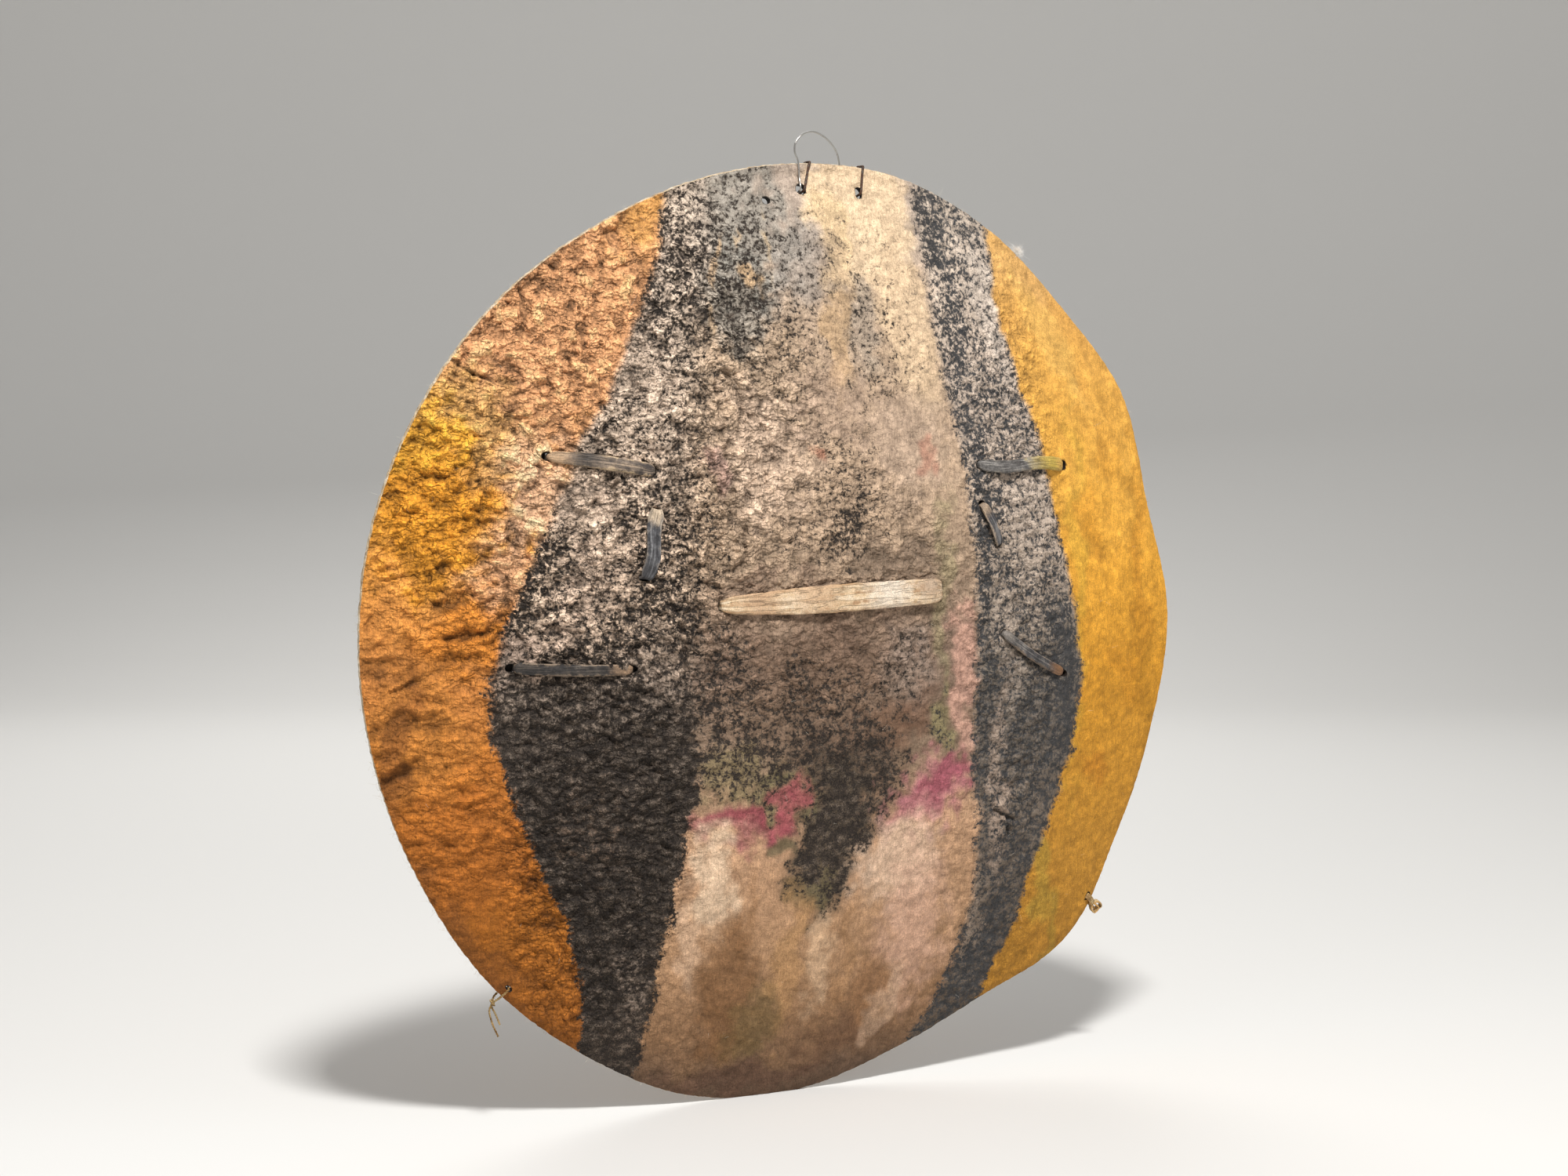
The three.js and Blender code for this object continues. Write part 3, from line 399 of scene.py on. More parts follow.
# Edges of the painted bands: how far right each lies at each height, in mm on the disc
BAND_EDGES = {
    "ochre to left black": (
        (260, -88), (223, -98), (177, -122), (141, -139), (119, -157), (83, -172), (56, -183), (30, -192),
        (-1, -208), (-23, -213), (-54, -209), (-86, -198), (-128, -179), (-161, -160), (-197, -149),
        (-240, -145)),
    "left black to middle": (
        (237, -66), (190, -78), (145, -84), (100, -90), (55, -95), (-40, -92), (-91, -89), (-118, -96),
        (-160, -100), (-210, -105), (-258, -110)),
    "middle to right black": (
        (269, 84), (226, 82), (182, 84), (135, 90), (101, 99), (39, 105), (-13, 106), (-71, 106),
        (-120, 110), (-171, 115), (-213, 107), (-254, 84)),
    "right black to yellow": (
        (246, 138), (202, 137), (158, 147), (105, 166), (56, 177), (16, 186), (-29, 196), (-83, 192),
        (-121, 176), (-155, 161), (-197, 152), (-229, 136)),
}
# Colour of each band from the bottom of the disc to its top, as heights in mm with the paint there
BAND_PAINTS = {
    "left flank": (
        (-240, "#8F5520"), (-160, "#9E5F20"), (-90, "#A66424"), (-55, "#AE6C2C"), (-15, "#B4743A"),
        (25, "#C4823E"), (60, "#CC8B3C"), (110, "#CF9146"), (160, "#D09258"), (240, "#D4985C")),
    "left black": (
        (-250, "#352B26"), (-140, "#2B2624"), (-70, "#35302D"), (-20, "#554C46"), (15, "#8B7869"),
        (60, "#9C897A"), (115, "#AD9B8D"), (165, "#A19387"), (205, "#94887E"), (255, "#978C82")),
    "middle": (
        (-275, "#66503F"), (-235, "#8E6C4E"), (-180, "#B08A68"), (-120, "#BF9776"), (-70, "#86705C"),
        (-20, "#7F6858"), (40, "#9E866F"), (100, "#B59A80"), (170, "#AE957C"), (250, "#AC9A8A")),
    "right black": (
        (-240, "#4A4038"), (-170, "#4C453F"), (-110, "#554E48"), (-60, "#4E4B48"), (-20, "#58544F"),
        (40, "#857B73"), (90, "#8B827B"), (140, "#8B827C"), (195, "#A0978F"), (255, "#85807A")),
    "right flank": (
        (-215, "#AC7A2E"), (-150, "#BC8632"), (-95, "#C68C30"), (-30, "#D0922E"), (35, "#DEA03A"),
        (95, "#DFA546"), (150, "#DAA24C"), (190, "#D09B50"), (215, "#CE9F5E")),
}
# Stains and rubbed washes over each band: paint, middle, half sizes, tilt in degrees, strength, softness,
# raggedness
STAINS = {
    "left flank": (
        ("#D69C6E", (-168, 178), (78, 92), -38, 0.9, 0.7, 0.6),
        ("#DDB08C", (-182, 88), (26, 34), 0, 0.85, 0.8, 0.8),
        ("#D3A27C", (-206, 46), (22, 24), 0, 0.8, 0.8, 0.9),
        ("#D0A25A", (-222, 128), (40, 30), -40, 0.6, 0.8, 0.8),
        ("#BE8A44", (-96, 256), (24, 14), 20, 0.5, 0.7, 0.7),
        ("#C78427", (-246, 88), (36, 52), 12, 0.95, 0.6, 0.8),
        ("#D69B34", (-238, 122), (22, 26), -30, 0.7, 0.7, 0.9),
        ("#BE7428", (-214, 8), (44, 22), 8, 0.75, 0.8, 0.9),
        ("#B37434", (-250, -45), (26, 44), 6, 0.7, 0.8, 0.7),
        ("#A5642A", (-196, -70), (24, 40), 0, 0.5, 0.8, 0.8),
        ("#A35F24", (-222, -120), (46, 44), 30, 0.7, 0.8, 0.7),
        # Two thin dark brown stripes along the lower left rim: painted shade where the edge rolls back
        ("#7A4A22", (-262, -70), (8, 90), -8, 0.7, 0.9, 0.6),
        ("#7A4A22", (-216, -178), (10, 80), 40, 0.7, 0.9, 0.6),
    ),
    "left black": (
        (SOOT, (-84, 226), (9, 40), 12, 0.15, 0.8, 0.9),
        (SOOT, (-102, 190), (9, 40), 12, 0.15, 0.8, 1.0),
        ("#C7AE98", (-112, 160), (26, 22), 0, 0.5, 0.8, 0.9),
        ("#C8AE98", (-158, 84), (20, 26), 0, 0.5, 0.8, 0.9),
        (SOOT, (-116, 66), (8, 30), 0, 0.2, 0.9, 1.1),
        (SOOT, (-174, 18), (8, 40), -6, 0.2, 0.9, 1.1),
        (SOOT, (-98, 96), (8, 50), 0, 0.1, 0.9, 1.0),
        ("#C9AE98", (-144, 44), (26, 24), 0, 0.5, 0.9, 1.0),
        ("#A89080", (-194, -4), (16, 16), 0, 0.6, 0.8, 0.9),
        ("#C4AA96", (-164, 16), (20, 26), 0, 0.5, 0.9, 1.0),
        ("#A08C7C", (-112, -12), (22, 20), 0, 0.4, 0.8, 1.0),
        ("#7A5A40", (-150, -110), (30, 30), 20, 0.25, 0.9, 1.0),
        ("#8A7A6C", (-116, -205), (8, 40), 6, 0.4, 0.8, 1.1),
    ),
    "middle": (
        ("#8E8A80", (-42, 240), (36, 40), 8, 0.7, 0.6, 0.9),
        (SOOT, (-44, 236), (34, 42), 8, 0.3, 0.8, 1.0),
        ("#858178", (-52, 200), (26, 32), 0, 0.7, 0.7, 1.0),
        (SOOT, (-54, 198), (24, 34), 0, 0.3, 0.9, 1.0),
        ("#C9A878", (-24, 232), (2.5, 18), 0, 0.5, 0.8, 1.2),
        ("#C79C68", (-60, 216), (2.5, 14), -4, 0.55, 0.8, 1.2),
        ("#C9A070", (-40, 206), (6, 4), 0, 0.6, 0.8, 1.2),
        ("#C7A478", (-48, 228), (2, 12), 0, 0.5, 0.8, 1.2),
        ("#C7A070", (-70, 190), (3, 10), 0, 0.4, 0.8, 1.2),
        ("#9C9288", (-6, 222), (20, 26), 0, 0.6, 0.8, 0.9),
        ("#D8BC9A", (42, 252), (37, 52), 0, 0.97, 0.3, 0.35),
        ("#D2B48A", (22, 240), (12, 30), 0, 0.7, 0.6, 0.5),
        ("#D3B694", (66, 182), (18, 56), 8, 0.9, 0.7, 0.7),
        ("#A2917F", (32, 190), (18, 28), 0, 0.85, 0.6, 0.6),
        ("#8E7C6B", (16, 208), (9, 34), -8, 0.5, 0.8, 0.9),
        (SOOT, (4, 140), (80, 120), 0, 0.24, 0.9, 0.8),
        ("#C8A274", (16, 178), (8, 40), -8, 0.5, 0.8, 0.9),
        ("#CBAF97", (-42, 110), (32, 40), 0, 0.7, 0.8, 0.9),
        ("#A48A77", (8, 140), (26, 30), 0, 0.5, 0.9, 0.9),
        ("#B59C87", (58, 116), (32, 34), 0, 0.6, 0.9, 0.9),
        ("#A8664E", (-4, 106), (10, 4), 0, 0.6, 0.8, 1.0),
        ("#A6624F", (70, 104), (10, 5), 0, 0.45, 0.9, 1.0),
        ("#A77E78", (-72, 96), (10, 12), 0, 0.5, 0.8, 0.9),
        (SOOT, (12, 62), (16, 20), 0, 0.35, 0.9, 1.0),
        (SOOT, (-78, 52), (9, 30), 0, 0.15, 0.8, 1.0),
        (SOOT, (-84, 106), (8, 60), 0, 0.12, 0.8, 1.0),
        ("#7D6A5A", (42, 44), (30, 14), 0, 0.5, 0.8, 0.8),
        ("#8C7260", (-44, 30), (34, 8), 0, 0.5, 0.9, 0.8),
        ("#6E5747", (-6, -14), (58, 26), 0, 0.7, 0.9, 0.7),
        (SOOT, (-70, -26), (26, 30), 0, 0.5, 0.9, 1.0),
        ("#A08E80", (52, -22), (24, 26), 0, 0.45, 0.9, 1.0),
        (SOOT, (50, -22), (26, 28), 0, 0.25, 0.9, 1.0),
        ("#6B4732", (36, -56), (46, 16), 14, 0.6, 0.8, 0.7),
        ("#77604E", (-14, -40), (66, 40), 0, 0.75, 0.9, 0.9),
        (SOOT, (-14, -50), (66, 40), 0, 0.38, 0.9, 0.9),
        ("#5F4C3E", (8, -88), (48, 40), 0, 0.9, 0.8, 0.7),
        (SOOT, (8, -88), (46, 38), 0, 0.6, 0.8, 0.8),
        ("#54483A", (4, -126), (27, 52), -6, 0.95, 0.5, 0.6),
        (SOOT, (4, -126), (25, 48), -6, 0.75, 0.6, 0.7),
        (SOOT, (-68, -74), (30, 22), 0, 0.4, 0.9, 1.1),
        ("#6E6546", (-4, -158), (15, 16), 0, 0.5, 0.7, 0.9),
        ("#7E7050", (-64, -78), (26, 18), -8, 0.7, 0.7, 1.0),
        (SOOT, (-60, -74), (26, 20), 0, 0.35, 0.9, 1.1),
        ("#6F6748", (-34, -96), (22, 18), 0, 0.7, 0.6, 0.9),
        (SOOT, (-34, -94), (20, 16), 0, 0.4, 0.8, 1.0),
        ("#5F5740", (-30, -123), (8, 9), 0, 0.8, 0.5, 0.5),
        ("#918763", (82, 26), (8, 56), -3, 0.5, 0.9, 1.1),
        ("#857C56", (82, -58), (8, 26), 0, 0.7, 0.8, 1.1),
        (SOOT, (80, -58), (8, 26), 0, 0.25, 0.9, 1.1),
        ("#96525A", (-60, -110), (34, 11), 4, 0.75, 0.8, 1.1),
        ("#8C3A46", (-56, -106), (24, 6), 10, 0.6, 0.8, 1.2),
        ("#A8535C", (-28, -100), (9, 17), -20, 0.7, 0.7, 1.0),
        ("#B47078", (74, -98), (34, 20), 24, 0.8, 0.9, 1.1),
        ("#9A4658", (88, -88), (22, 10), 30, 0.6, 0.9, 1.2),
        ("#C99C88", (98, -30), (8, 46), 0, 0.75, 0.7, 0.9),
        ("#E0C4A6", (-72, -146), (14, 30), 8, 0.75, 0.8, 0.9),
        ("#DDBDA2", (54, -140), (30, 30), -14, 0.75, 0.8, 0.7),
        ("#CFA68E", (72, -180), (26, 50), 0, 0.7, 0.9, 0.6),
        ("#9C7450", (-46, -170), (4, 34), -6, 0.5, 0.9, 1.0),
        ("#A67E58", (26, -196), (5, 40), -10, 0.5, 0.9, 1.0),
        ("#D9B896", (6, -200), (10, 30), -4, 0.5, 0.9, 0.9),
        ("#D4B294", (-84, -180), (8, 30), 12, 0.6, 0.9, 0.9),
        ("#7A5636", (-56, -212), (20, 44), 4, 0.75, 0.8, 0.7),
        ("#6C5A38", (-38, -236), (16, 26), 0, 0.6, 0.8, 0.8),
        ("#B98E60", (-18, -196), (10, 44), -6, 0.6, 0.8, 0.7),
        ("#8E6644", (40, -222), (14, 26), -16, 0.5, 0.8, 0.8),
        ("#6B4E3A", (34, -250), (34, 12), 8, 0.6, 0.8, 0.8),
        ("#C4A488", (56, -232), (9, 26), -18, 0.5, 0.6, 0.8),
        ("#63493A", (-40, -268), (60, 10), 0, 0.7, 0.8, 0.7),
    ),
    "right black": (
        (SOOT, (96, 250), (10, 36), -6, 0.3, 0.8, 0.9),
        (SOOT, (102, 190), (9, 46), 4, 0.35, 0.8, 1.0),
        ("#C4B8AC", (130, 196), (13, 44), 10, 0.4, 0.8, 1.0),
        (SOOT, (114, 96), (9, 44), 10, 0.35, 0.8, 1.0),
        ("#C2B0A0", (150, 70), (20, 36), 12, 0.35, 0.8, 1.0),
        (SOOT, (111, 30), (6, 60), 0, 0.35, 0.8, 1.0),
        ("#B8A696", (132, -20), (10, 50), 4, 0.35, 0.8, 1.1),
        (SOOT, (178, -30), (12, 40), 8, 0.55, 0.8, 0.9),
        ("#C0A794", (128, -95), (8, 60), 4, 0.4, 0.8, 1.1),
        ("#AA9684", (120, -180), (8, 40), 0, 0.4, 0.8, 1.0),
        (SOOT, (130, -206), (12, 36), -20, 0.4, 0.8, 0.8),
    ),
    "right flank": (
        ("#B99F3C", (192, 16), (7, 120), 0, 0.3, 0.9, 0.7),
        ("#A08A38", (168, -150), (7, 90), 18, 0.5, 0.9, 0.6),
        ("#A1701F", (262, -60), (10, 110), 8, 0.45, 0.9, 0.6),
        ("#CC8A2C", (254, 40), (8, 80), 0, 0.4, 0.9, 0.8),
        ("#C98626", (206, 62), (14, 26), 20, 0.3, 0.9, 0.9),
        ("#C98828", (226, 104), (12, 22), 20, 0.3, 0.9, 0.9),
        ("#C08026", (238, -34), (14, 24), 30, 0.3, 0.9, 0.9),
        ("#B8701F", (216, -96), (14, 12), 0, 0.4, 0.9, 0.9),
        ("#DDB060", (180, 176), (12, 40), 30, 0.5, 0.8, 0.7),
        ("#D8B06A", (150, 120), (7, 22), 12, 0.7, 0.7, 0.8),
    ),
}


def linear(code):
    return np.array(colour(code)[:3])


def under_black(shade, spread):
    """Splits a black wash's mean colour into the bare hide between its specks and how much they cover."""
    weights = np.array([0.21, 0.72, 0.07])
    clean, black, bright = linear(BARE_HIDE) @ weights, linear(SOOT) @ weights, shade @ weights
    # Where the wash is dark, the hide between its specks is soiled too
    bare = np.clip(spread * bright, 0.085, clean)
    cover = np.clip((bare - bright) / (bare - black), 0, 1)
    tint = (shade / bright[..., None] + linear(BARE_HIDE) / clean) / 2
    return tint * bare[..., None], cover[..., None]


def paint_on_hide(right, up, crest, cracks, rough):
    """The paint's colour at each point of the face: bands, then stains, then wear and dirt with painted
    light and shade on the relief.
    """
    bent_right = right + 13 * grain(right, up, 30, 101, 4)
    bent_up = up + 18 * grain(right, up, 30, 103, 4)
    torn = 0.8 * grain(right, up, 9, 105, 2)

    def beyond(edge, soft):
        heights, reaches = zip(*sorted(BAND_EDGES[edge]))
        gap = right - np.interp(up, heights, reaches) + 4 * grain(right, up, 26, 109, 3) + 2 * torn
        return [step_between(low * soft, high * soft, gap)[..., None]
                for low, high in ((-1, 1), (-0.4, 1.8))]

    def stained(band):
        heights, paints = zip(*BAND_PAINTS[band])
        paints = np.array([linear(paint) for paint in paints])
        shade = np.stack([np.interp(bent_up, heights, paints[:, part]) for part in range(3)], axis=-1)
        black = np.zeros_like(shade[..., :1])
        if "black" in band:
            shade, black = under_black(shade, 2.2 if band == "left black" else 1.6)
        for paint, middle, half, tilt, strength, softness, ragged in STAINS[band]:
            lean = math.radians(tilt)
            away_right, away_up = bent_right - middle[0], bent_up - middle[1]
            across = (away_right * math.cos(lean) + away_up * math.sin(lean)) / half[0]
            along = (away_up * math.cos(lean) - away_right * math.sin(lean)) / half[1]
            reach = np.hypot(across, along) + 0.6 * ragged * torn
            amount = strength * step_between(1.1 + 0.3 * softness, 1.1 - 0.75 * softness, reach)[..., None]
            if paint == SOOT:
                black = black + (1 - black) * amount
            else:
                shade = shade + (linear(paint) - shade) * amount
                black = black * (1 - amount)
        return shade, black

    # The middle's left edge is sharp below and fuzzy above
    fuzzy = step_between(-90, -10, up)[..., None]
    middle_edge = [sharp * (1 - fuzzy) + soft * fuzzy for sharp, soft in
                   zip(beyond("left black to middle", 4), beyond("left black to middle", 15))]
    shade, cover = stained("left flank")
    for (first, later), band in (
        (beyond("ochre to left black", 3.5), "left black"),
        (middle_edge, "middle"),
        (beyond("middle to right black", 4), "right black"),
        (beyond("right black to yellow", 3), "right flank"),
    ):
        paint, black = stained(band)
        # Black specks reach a little over the colour beside them
        lead, follow = (later, first) if "black" in band else (first, later)
        shade = shade + (paint - shade) * lead
        cover = cover + (black - cover) * follow
    # Lighter on the crests and darker in the hollows: partly wear, partly painted light and shade on the
    # relief
    mottle_and_relief_shade = 0.5 * crest + 0.5 * grain(right, up, 8, 111, 3) + 0.4 * grain(right, up, 3, 113, 2)
    shade = shade * np.clip(1 + mottle_and_relief_shade * (0.16 + 0.36 * rough), 0.5, 1.6)[..., None]
    # Brown in the deepest hollows: dirt and painted shade
    dirt_and_hollow_shade = np.clip(-mottle_and_relief_shade * 1.4 - 0.55, 0, 1) * 0.4 * rough
    shade = shade + (linear("#4A3220") - shade) * dirt_and_hollow_shade[..., None]
    # Darker along the cracks and cuts: painted shade in them
    return np.clip(shade * (1 - 0.6 * cracks[..., None]), 0.004, 0.9), cover[..., 0]


def painted_hide_material():
    """Earth paints rubbed into the rough flesh side of rawhide: matt, soft-edged, worn off the crests, with
    painted light on the crests and painted shade in the hollows.
    """
    material, tree = new_material("earth paint on rough rawhide")
    place = put(tree, "TexCoord", out="Object")
    place = put(tree, "VectorMath", place, (1 / MM,) * 3, operation="MULTIPLY")
    shade = put(tree, "Attribute", out="Vector", attribute_name="earth_paint")
    lie = put(tree, "Attribute", out="Vector", attribute_name="hide_lie")
    cover, rough_zone = (put(tree, "SeparateXYZ", lie, out=axis) for axis in "XY")
    nap = put(tree, "TexNoise", place, named={"Scale": 1 / 0.7, "Detail": 2, "Roughness": 0.6}, out="Fac")
    sway = put(tree, "TexNoise", place, named={"Scale": 1 / 7, "Detail": 3}, out="Color")
    sway = put(tree, "VectorMath", sway, (-0.5, -0.5, -0.5), operation="ADD")
    bent = put(tree, "VectorMath", sway, (4, 4, 4), place, operation="MULTIPLY_ADD")
    # Fibres 1 mm wide, drawn out along the height
    drawn = put(tree, "VectorMath", place, (1, 1, 0.16), operation="MULTIPLY")
    fibres = put(tree, "TexNoise", drawn, named={"Scale": 1, "Detail": 4, "Roughness": 0.62}, out="Fac")
    # Crumbs 6 mm and 2.5 mm across that swell between sharp creases
    wide = put(tree, "VectorMath", bent, (0.85, 0.85, 1.2), operation="MULTIPLY")
    hollow = put(tree, "TexVoronoi", wide, out="Distance",
                 named={"Scale": 1 / 6, "Detail": 1, "Roughness": 0.5, "Lacunarity": 2.4})
    relief = put(tree, "Math", hollow, -3.6, operation="MULTIPLY")
    # Torn layers: flat tops, ragged edges and a painted shadow line at the foot of each edge
    layer = put(tree, "TexNoise", wide, named={"Scale": 1 / 13, "Detail": 3, "Roughness": 0.5}, out="Fac")
    layer = put(tree, "Math", layer, 9, operation="MULTIPLY")
    edge = put(tree, "Math", layer, operation="FRACT")
    top = put(tree, "MapRange", edge, 0.82, 1, 0, 1)
    top = put(tree, "Math", put(tree, "Math", layer, operation="FLOOR"), top, operation="ADD")
    relief = put(tree, "Math", top, 0.7, relief, operation="MULTIPLY_ADD")
    foot = put(tree, "Math", put(tree, "Math", edge, -0.82, operation="ADD"), operation="ABSOLUTE")
    creased = put(tree, "MapRange", foot, 0, 0.1, 0, 1)
    crumb = put(tree, "TexNoise", bent, named={"Scale": 1 / 2.2, "Detail": 4, "Roughness": 0.66}, out="Fac")
    crest = put(tree, "MapRange", hollow, 0, 1, 0.72, 0.34)

    # Soot lies in the hollows between crumbs 2 mm across, on as much of the hide as the wash covers
    blots = put(tree, "Mix", 0.65, data_type="FLOAT", named={2: crest, 3: crumb})
    low = put(tree, "MapRange", cover, 0, 1, 0.42, 0.66)
    high = put(tree, "MapRange", cover, 0, 1, 0.34, 0.56)
    blacked = put(tree, "MapRange", blots, low, high, 0, 1)
    thin = put(tree, "MapRange", cover, 0.03, 0.2, 0, 1)
    blacked = put(tree, "Math", blacked, thin, operation="MULTIPLY")
    # The soot is lighter on the crests: painted highlight on the relief, with grain from the nap
    soot_with_crest_light = put(tree, "Math", put(tree, "Math", crest, nap, operation="ADD"), 0.5, operation="MULTIPLY")
    soot_with_crest_light = put(tree, "ValToRGB", soot_with_crest_light, stops=[(0.38, "#2B2420"), (0.5, "#40372F"), (0.62, "#6A5D52")])
    # The soot of the right band is bluer and thinner
    right_side = put(tree, "MapRange", put(tree, "SeparateXYZ", place, out="X"), 70, 120, 0, 1)
    bluer = put(tree, "Mix", 0.5, **BLEND, named={6: soot_with_crest_light, 7: "#4A4D50"})
    soot_with_crest_light = put(tree, "Mix", right_side, **BLEND, named={6: soot_with_crest_light, 7: bluer})
    shade = put(tree, "Mix", blacked, **BLEND, named={6: shade, 7: soot_with_crest_light})

    # Lighter on the crests and darker in the hollows: painted light and shade on the relief, with the grain
    # of the fibres
    mottle_and_relief_shade = put(tree, "Math", put(tree, "Math", crest, fibres, operation="ADD"), 0.5, operation="MULTIPLY")
    mottle_and_relief_shade = put(tree, "MapRange", mottle_and_relief_shade, 0.38, 0.62, 0, 1)
    low = put(tree, "MapRange", rough_zone, 0, 1, 0.82, 0.62)
    high = put(tree, "MapRange", rough_zone, 0, 1, 1.2, 1.45)
    mottle_and_relief_shade = put(tree, "Mix", mottle_and_relief_shade, data_type="FLOAT", named={2: low, 3: high})
    speck = put(tree, "MapRange", nap, 0.34, 0.66, 0.8, 1.2)
    # A painted shadow line at the foot of each torn layer, darkest where the hide is roughest
    foot_shade = put(tree, "MapRange", rough_zone, 0.1, 1, 0.96, 0.5)
    split = put(tree, "MapRange", creased, 0, 1, foot_shade, 1)
    for change in (mottle_and_relief_shade, speck, split):
        shade = put(tree, "Mix", 1, **TIMES, named={6: shade, 7: change})

    depth = put(tree, "MapRange", rough_zone, 0.22, 1, 0.08, 1.25)
    relief = put(tree, "Math", relief, depth, operation="MULTIPLY")
    for layer, height in ((fibres, 0.35), (nap, 0.25)):
        relief = put(tree, "Math", layer, height, relief, operation="MULTIPLY_ADD")
    normal = put(tree, "Bump", out="Normal", named={"Strength": 1.0, "Distance": 1.0 * MM, "Height": relief})
    rough = put(tree, "MapRange", nap, 0.3, 0.7, 0.82, 0.98)
    surface = put(tree, "BsdfPrincipled", named={
        "Base Color": shade, "Roughness": rough, "Normal": normal, "Specular IOR Level": 0.25})
    put(tree, "OutputMaterial", surface)
    return material


def raw_hide_material(name, dark, middle, light, lump, bump, patches=None):
    """Bare dried hide: horny and matt, with cloudy patches, fine grain and pores."""
    material, tree = new_material(name)
    place = put(tree, "TexCoord", out="Object")
    place = put(tree, "VectorMath", place, (1 / MM,) * 3, operation="MULTIPLY")
    clouds = put(tree, "TexNoise", place, out="Fac",
                 named={"Scale": 1 / lump, "Detail": 6, "Roughness": 0.6})
    grit = put(tree, "TexNoise", place, named={"Scale": 1 / 2.2, "Detail": 5, "Roughness": 0.65}, out="Fac")
    pores = put(tree, "TexVoronoi", place, named={"Scale": 1 / 1.6, "Randomness": 1}, out="Distance")
    shade = put(tree, "ValToRGB", clouds, stops=[(0.3, dark), (0.5, middle), (0.7, light)])
    speck = put(tree, "MapRange", grit, 0.3, 0.7, 0.68, 1.18)
    shade = put(tree, "Mix", 1, **TIMES, named={6: shade, 7: speck})
    if patches:
        stain = put(tree, "TexNoise", place, named={"Scale": 1 / (4 * lump), "Detail": 4}, out="Fac")
        stain = put(tree, "MapRange", stain, 0.5, 0.66, 0, 0.7)
        shade = put(tree, "Mix", stain, **BLEND, named={6: shade, 7: patches})
    relief = put(tree, "Math", grit, 1.4, operation="MULTIPLY")
    for layer, height in ((clouds, 1.6), (pores, 0.4)):
        relief = put(tree, "Math", layer, height, relief, operation="MULTIPLY_ADD")
    normal = put(tree, "Bump", out="Normal",
                 named={"Strength": 1.0, "Distance": bump * MM, "Height": relief})
    surface = put(tree, "BsdfPrincipled", named={
        "Base Color": shade, "Roughness": 0.78, "Normal": normal, "Specular IOR Level": 0.35})
    put(tree, "OutputMaterial", surface)
    return material


def strip_material(name, body, light, dark, edge, roughness=0.62, patches=(), wrinkle=0.5):
    """Hide strip: cloudy body, rubbed edges of another shade, wrinkles and cracks along it, with painted
    shade in the cracks.

    Each patch is a colour, its place on the disc in mm and how far it reaches.
    """
    material, tree = new_material(name)
    place = put(tree, "TexCoord", out="Object")
    place = put(tree, "VectorMath", place, (1 / MM,) * 3, operation="MULTIPLY")
    strip = put(tree, "UVMap", uv_map="strip")
    # Wrinkles 30 mm long and a fifth of the width apart
    drawn = put(tree, "VectorMath", strip, (1 / MM / 30, 5, 1), operation="MULTIPLY")
    streaks = put(tree, "TexNoise", drawn, out="Fac",
                  named={"Scale": 1.0, "Detail": 3, "Roughness": 0.5, "Distortion": 0.4})
    clouds = put(tree, "TexNoise", place, named={"Scale": 1 / 5, "Detail": 6, "Roughness": 0.66}, out="Fac")
    grit = put(tree, "TexNoise", place, named={"Scale": 1 / 0.8, "Detail": 3, "Roughness": 0.7}, out="Fac")
    cracks = put(tree, "Math", put(tree, "Math", streaks, -0.5, operation="ADD"), operation="ABSOLUTE")
    cracks = put(tree, "MapRange", cracks, 0.0, 0.035, 0, 1)
    mixed = put(tree, "Math", put(tree, "Math", clouds, streaks, operation="ADD"), 0.5, operation="MULTIPLY")
    shade = put(tree, "ValToRGB", mixed, stops=[(0.4, dark), (0.5, body), (0.6, light)])
    rim = put(tree, "Math", put(tree, "SeparateXYZ", strip, out="Y"), -0.5, operation="ADD")
    rim = put(tree, "Math", rim, operation="ABSOLUTE")
    uneven = put(tree, "Math", clouds, -0.5, operation="ADD")
    rim = put(tree, "Math", uneven, 1.1, rim, operation="MULTIPLY_ADD")
    rim = put(tree, "MapRange", rim, 0.38, 0.5, 0, 0.7)
    shade = put(tree, "Mix", rim, **BLEND, named={6: shade, 7: edge})
    for paint, (right, up), reach in patches:
        middle = (np.array([right, face_depth(right, up), up]) + DISC) * -1
        away = put(tree, "VectorMath", place, tuple(middle), operation="ADD")
        away = put(tree, "VectorMath", away, out="Value", operation="LENGTH")
        away = put(tree, "Math", clouds, -1.2 * reach, away, operation="MULTIPLY_ADD")
        amount = put(tree, "MapRange", away, -0.35 * reach, 0.45 * reach, 0.9, 0)
        shade = put(tree, "Mix", amount, **BLEND, named={6: shade, 7: paint})
    speck = put(tree, "MapRange", grit, 0.34, 0.66, 0.72, 1.24)
    # Darker along the cracks: painted shade in them
    split = put(tree, "MapRange", cracks, 0, 1, 0.72, 1)
    for change in (speck, split):
        shade = put(tree, "Mix", 1, **TIMES, named={6: shade, 7: change})
    relief = put(tree, "Math", grit, 0.4, operation="MULTIPLY")
    for layer, height in ((clouds, 1.2), (cracks, 0.6)):
        relief = put(tree, "Math", layer, height, relief, operation="MULTIPLY_ADD")
    normal = put(tree, "Bump", out="Normal",
                 named={"Strength": 1.0, "Distance": wrinkle * MM, "Height": relief})
    surface = put(tree, "BsdfPrincipled", named={
        "Base Color": shade, "Roughness": roughness, "Normal": normal, "Specular IOR Level": 0.4})
    put(tree, "OutputMaterial", surface)
    return material


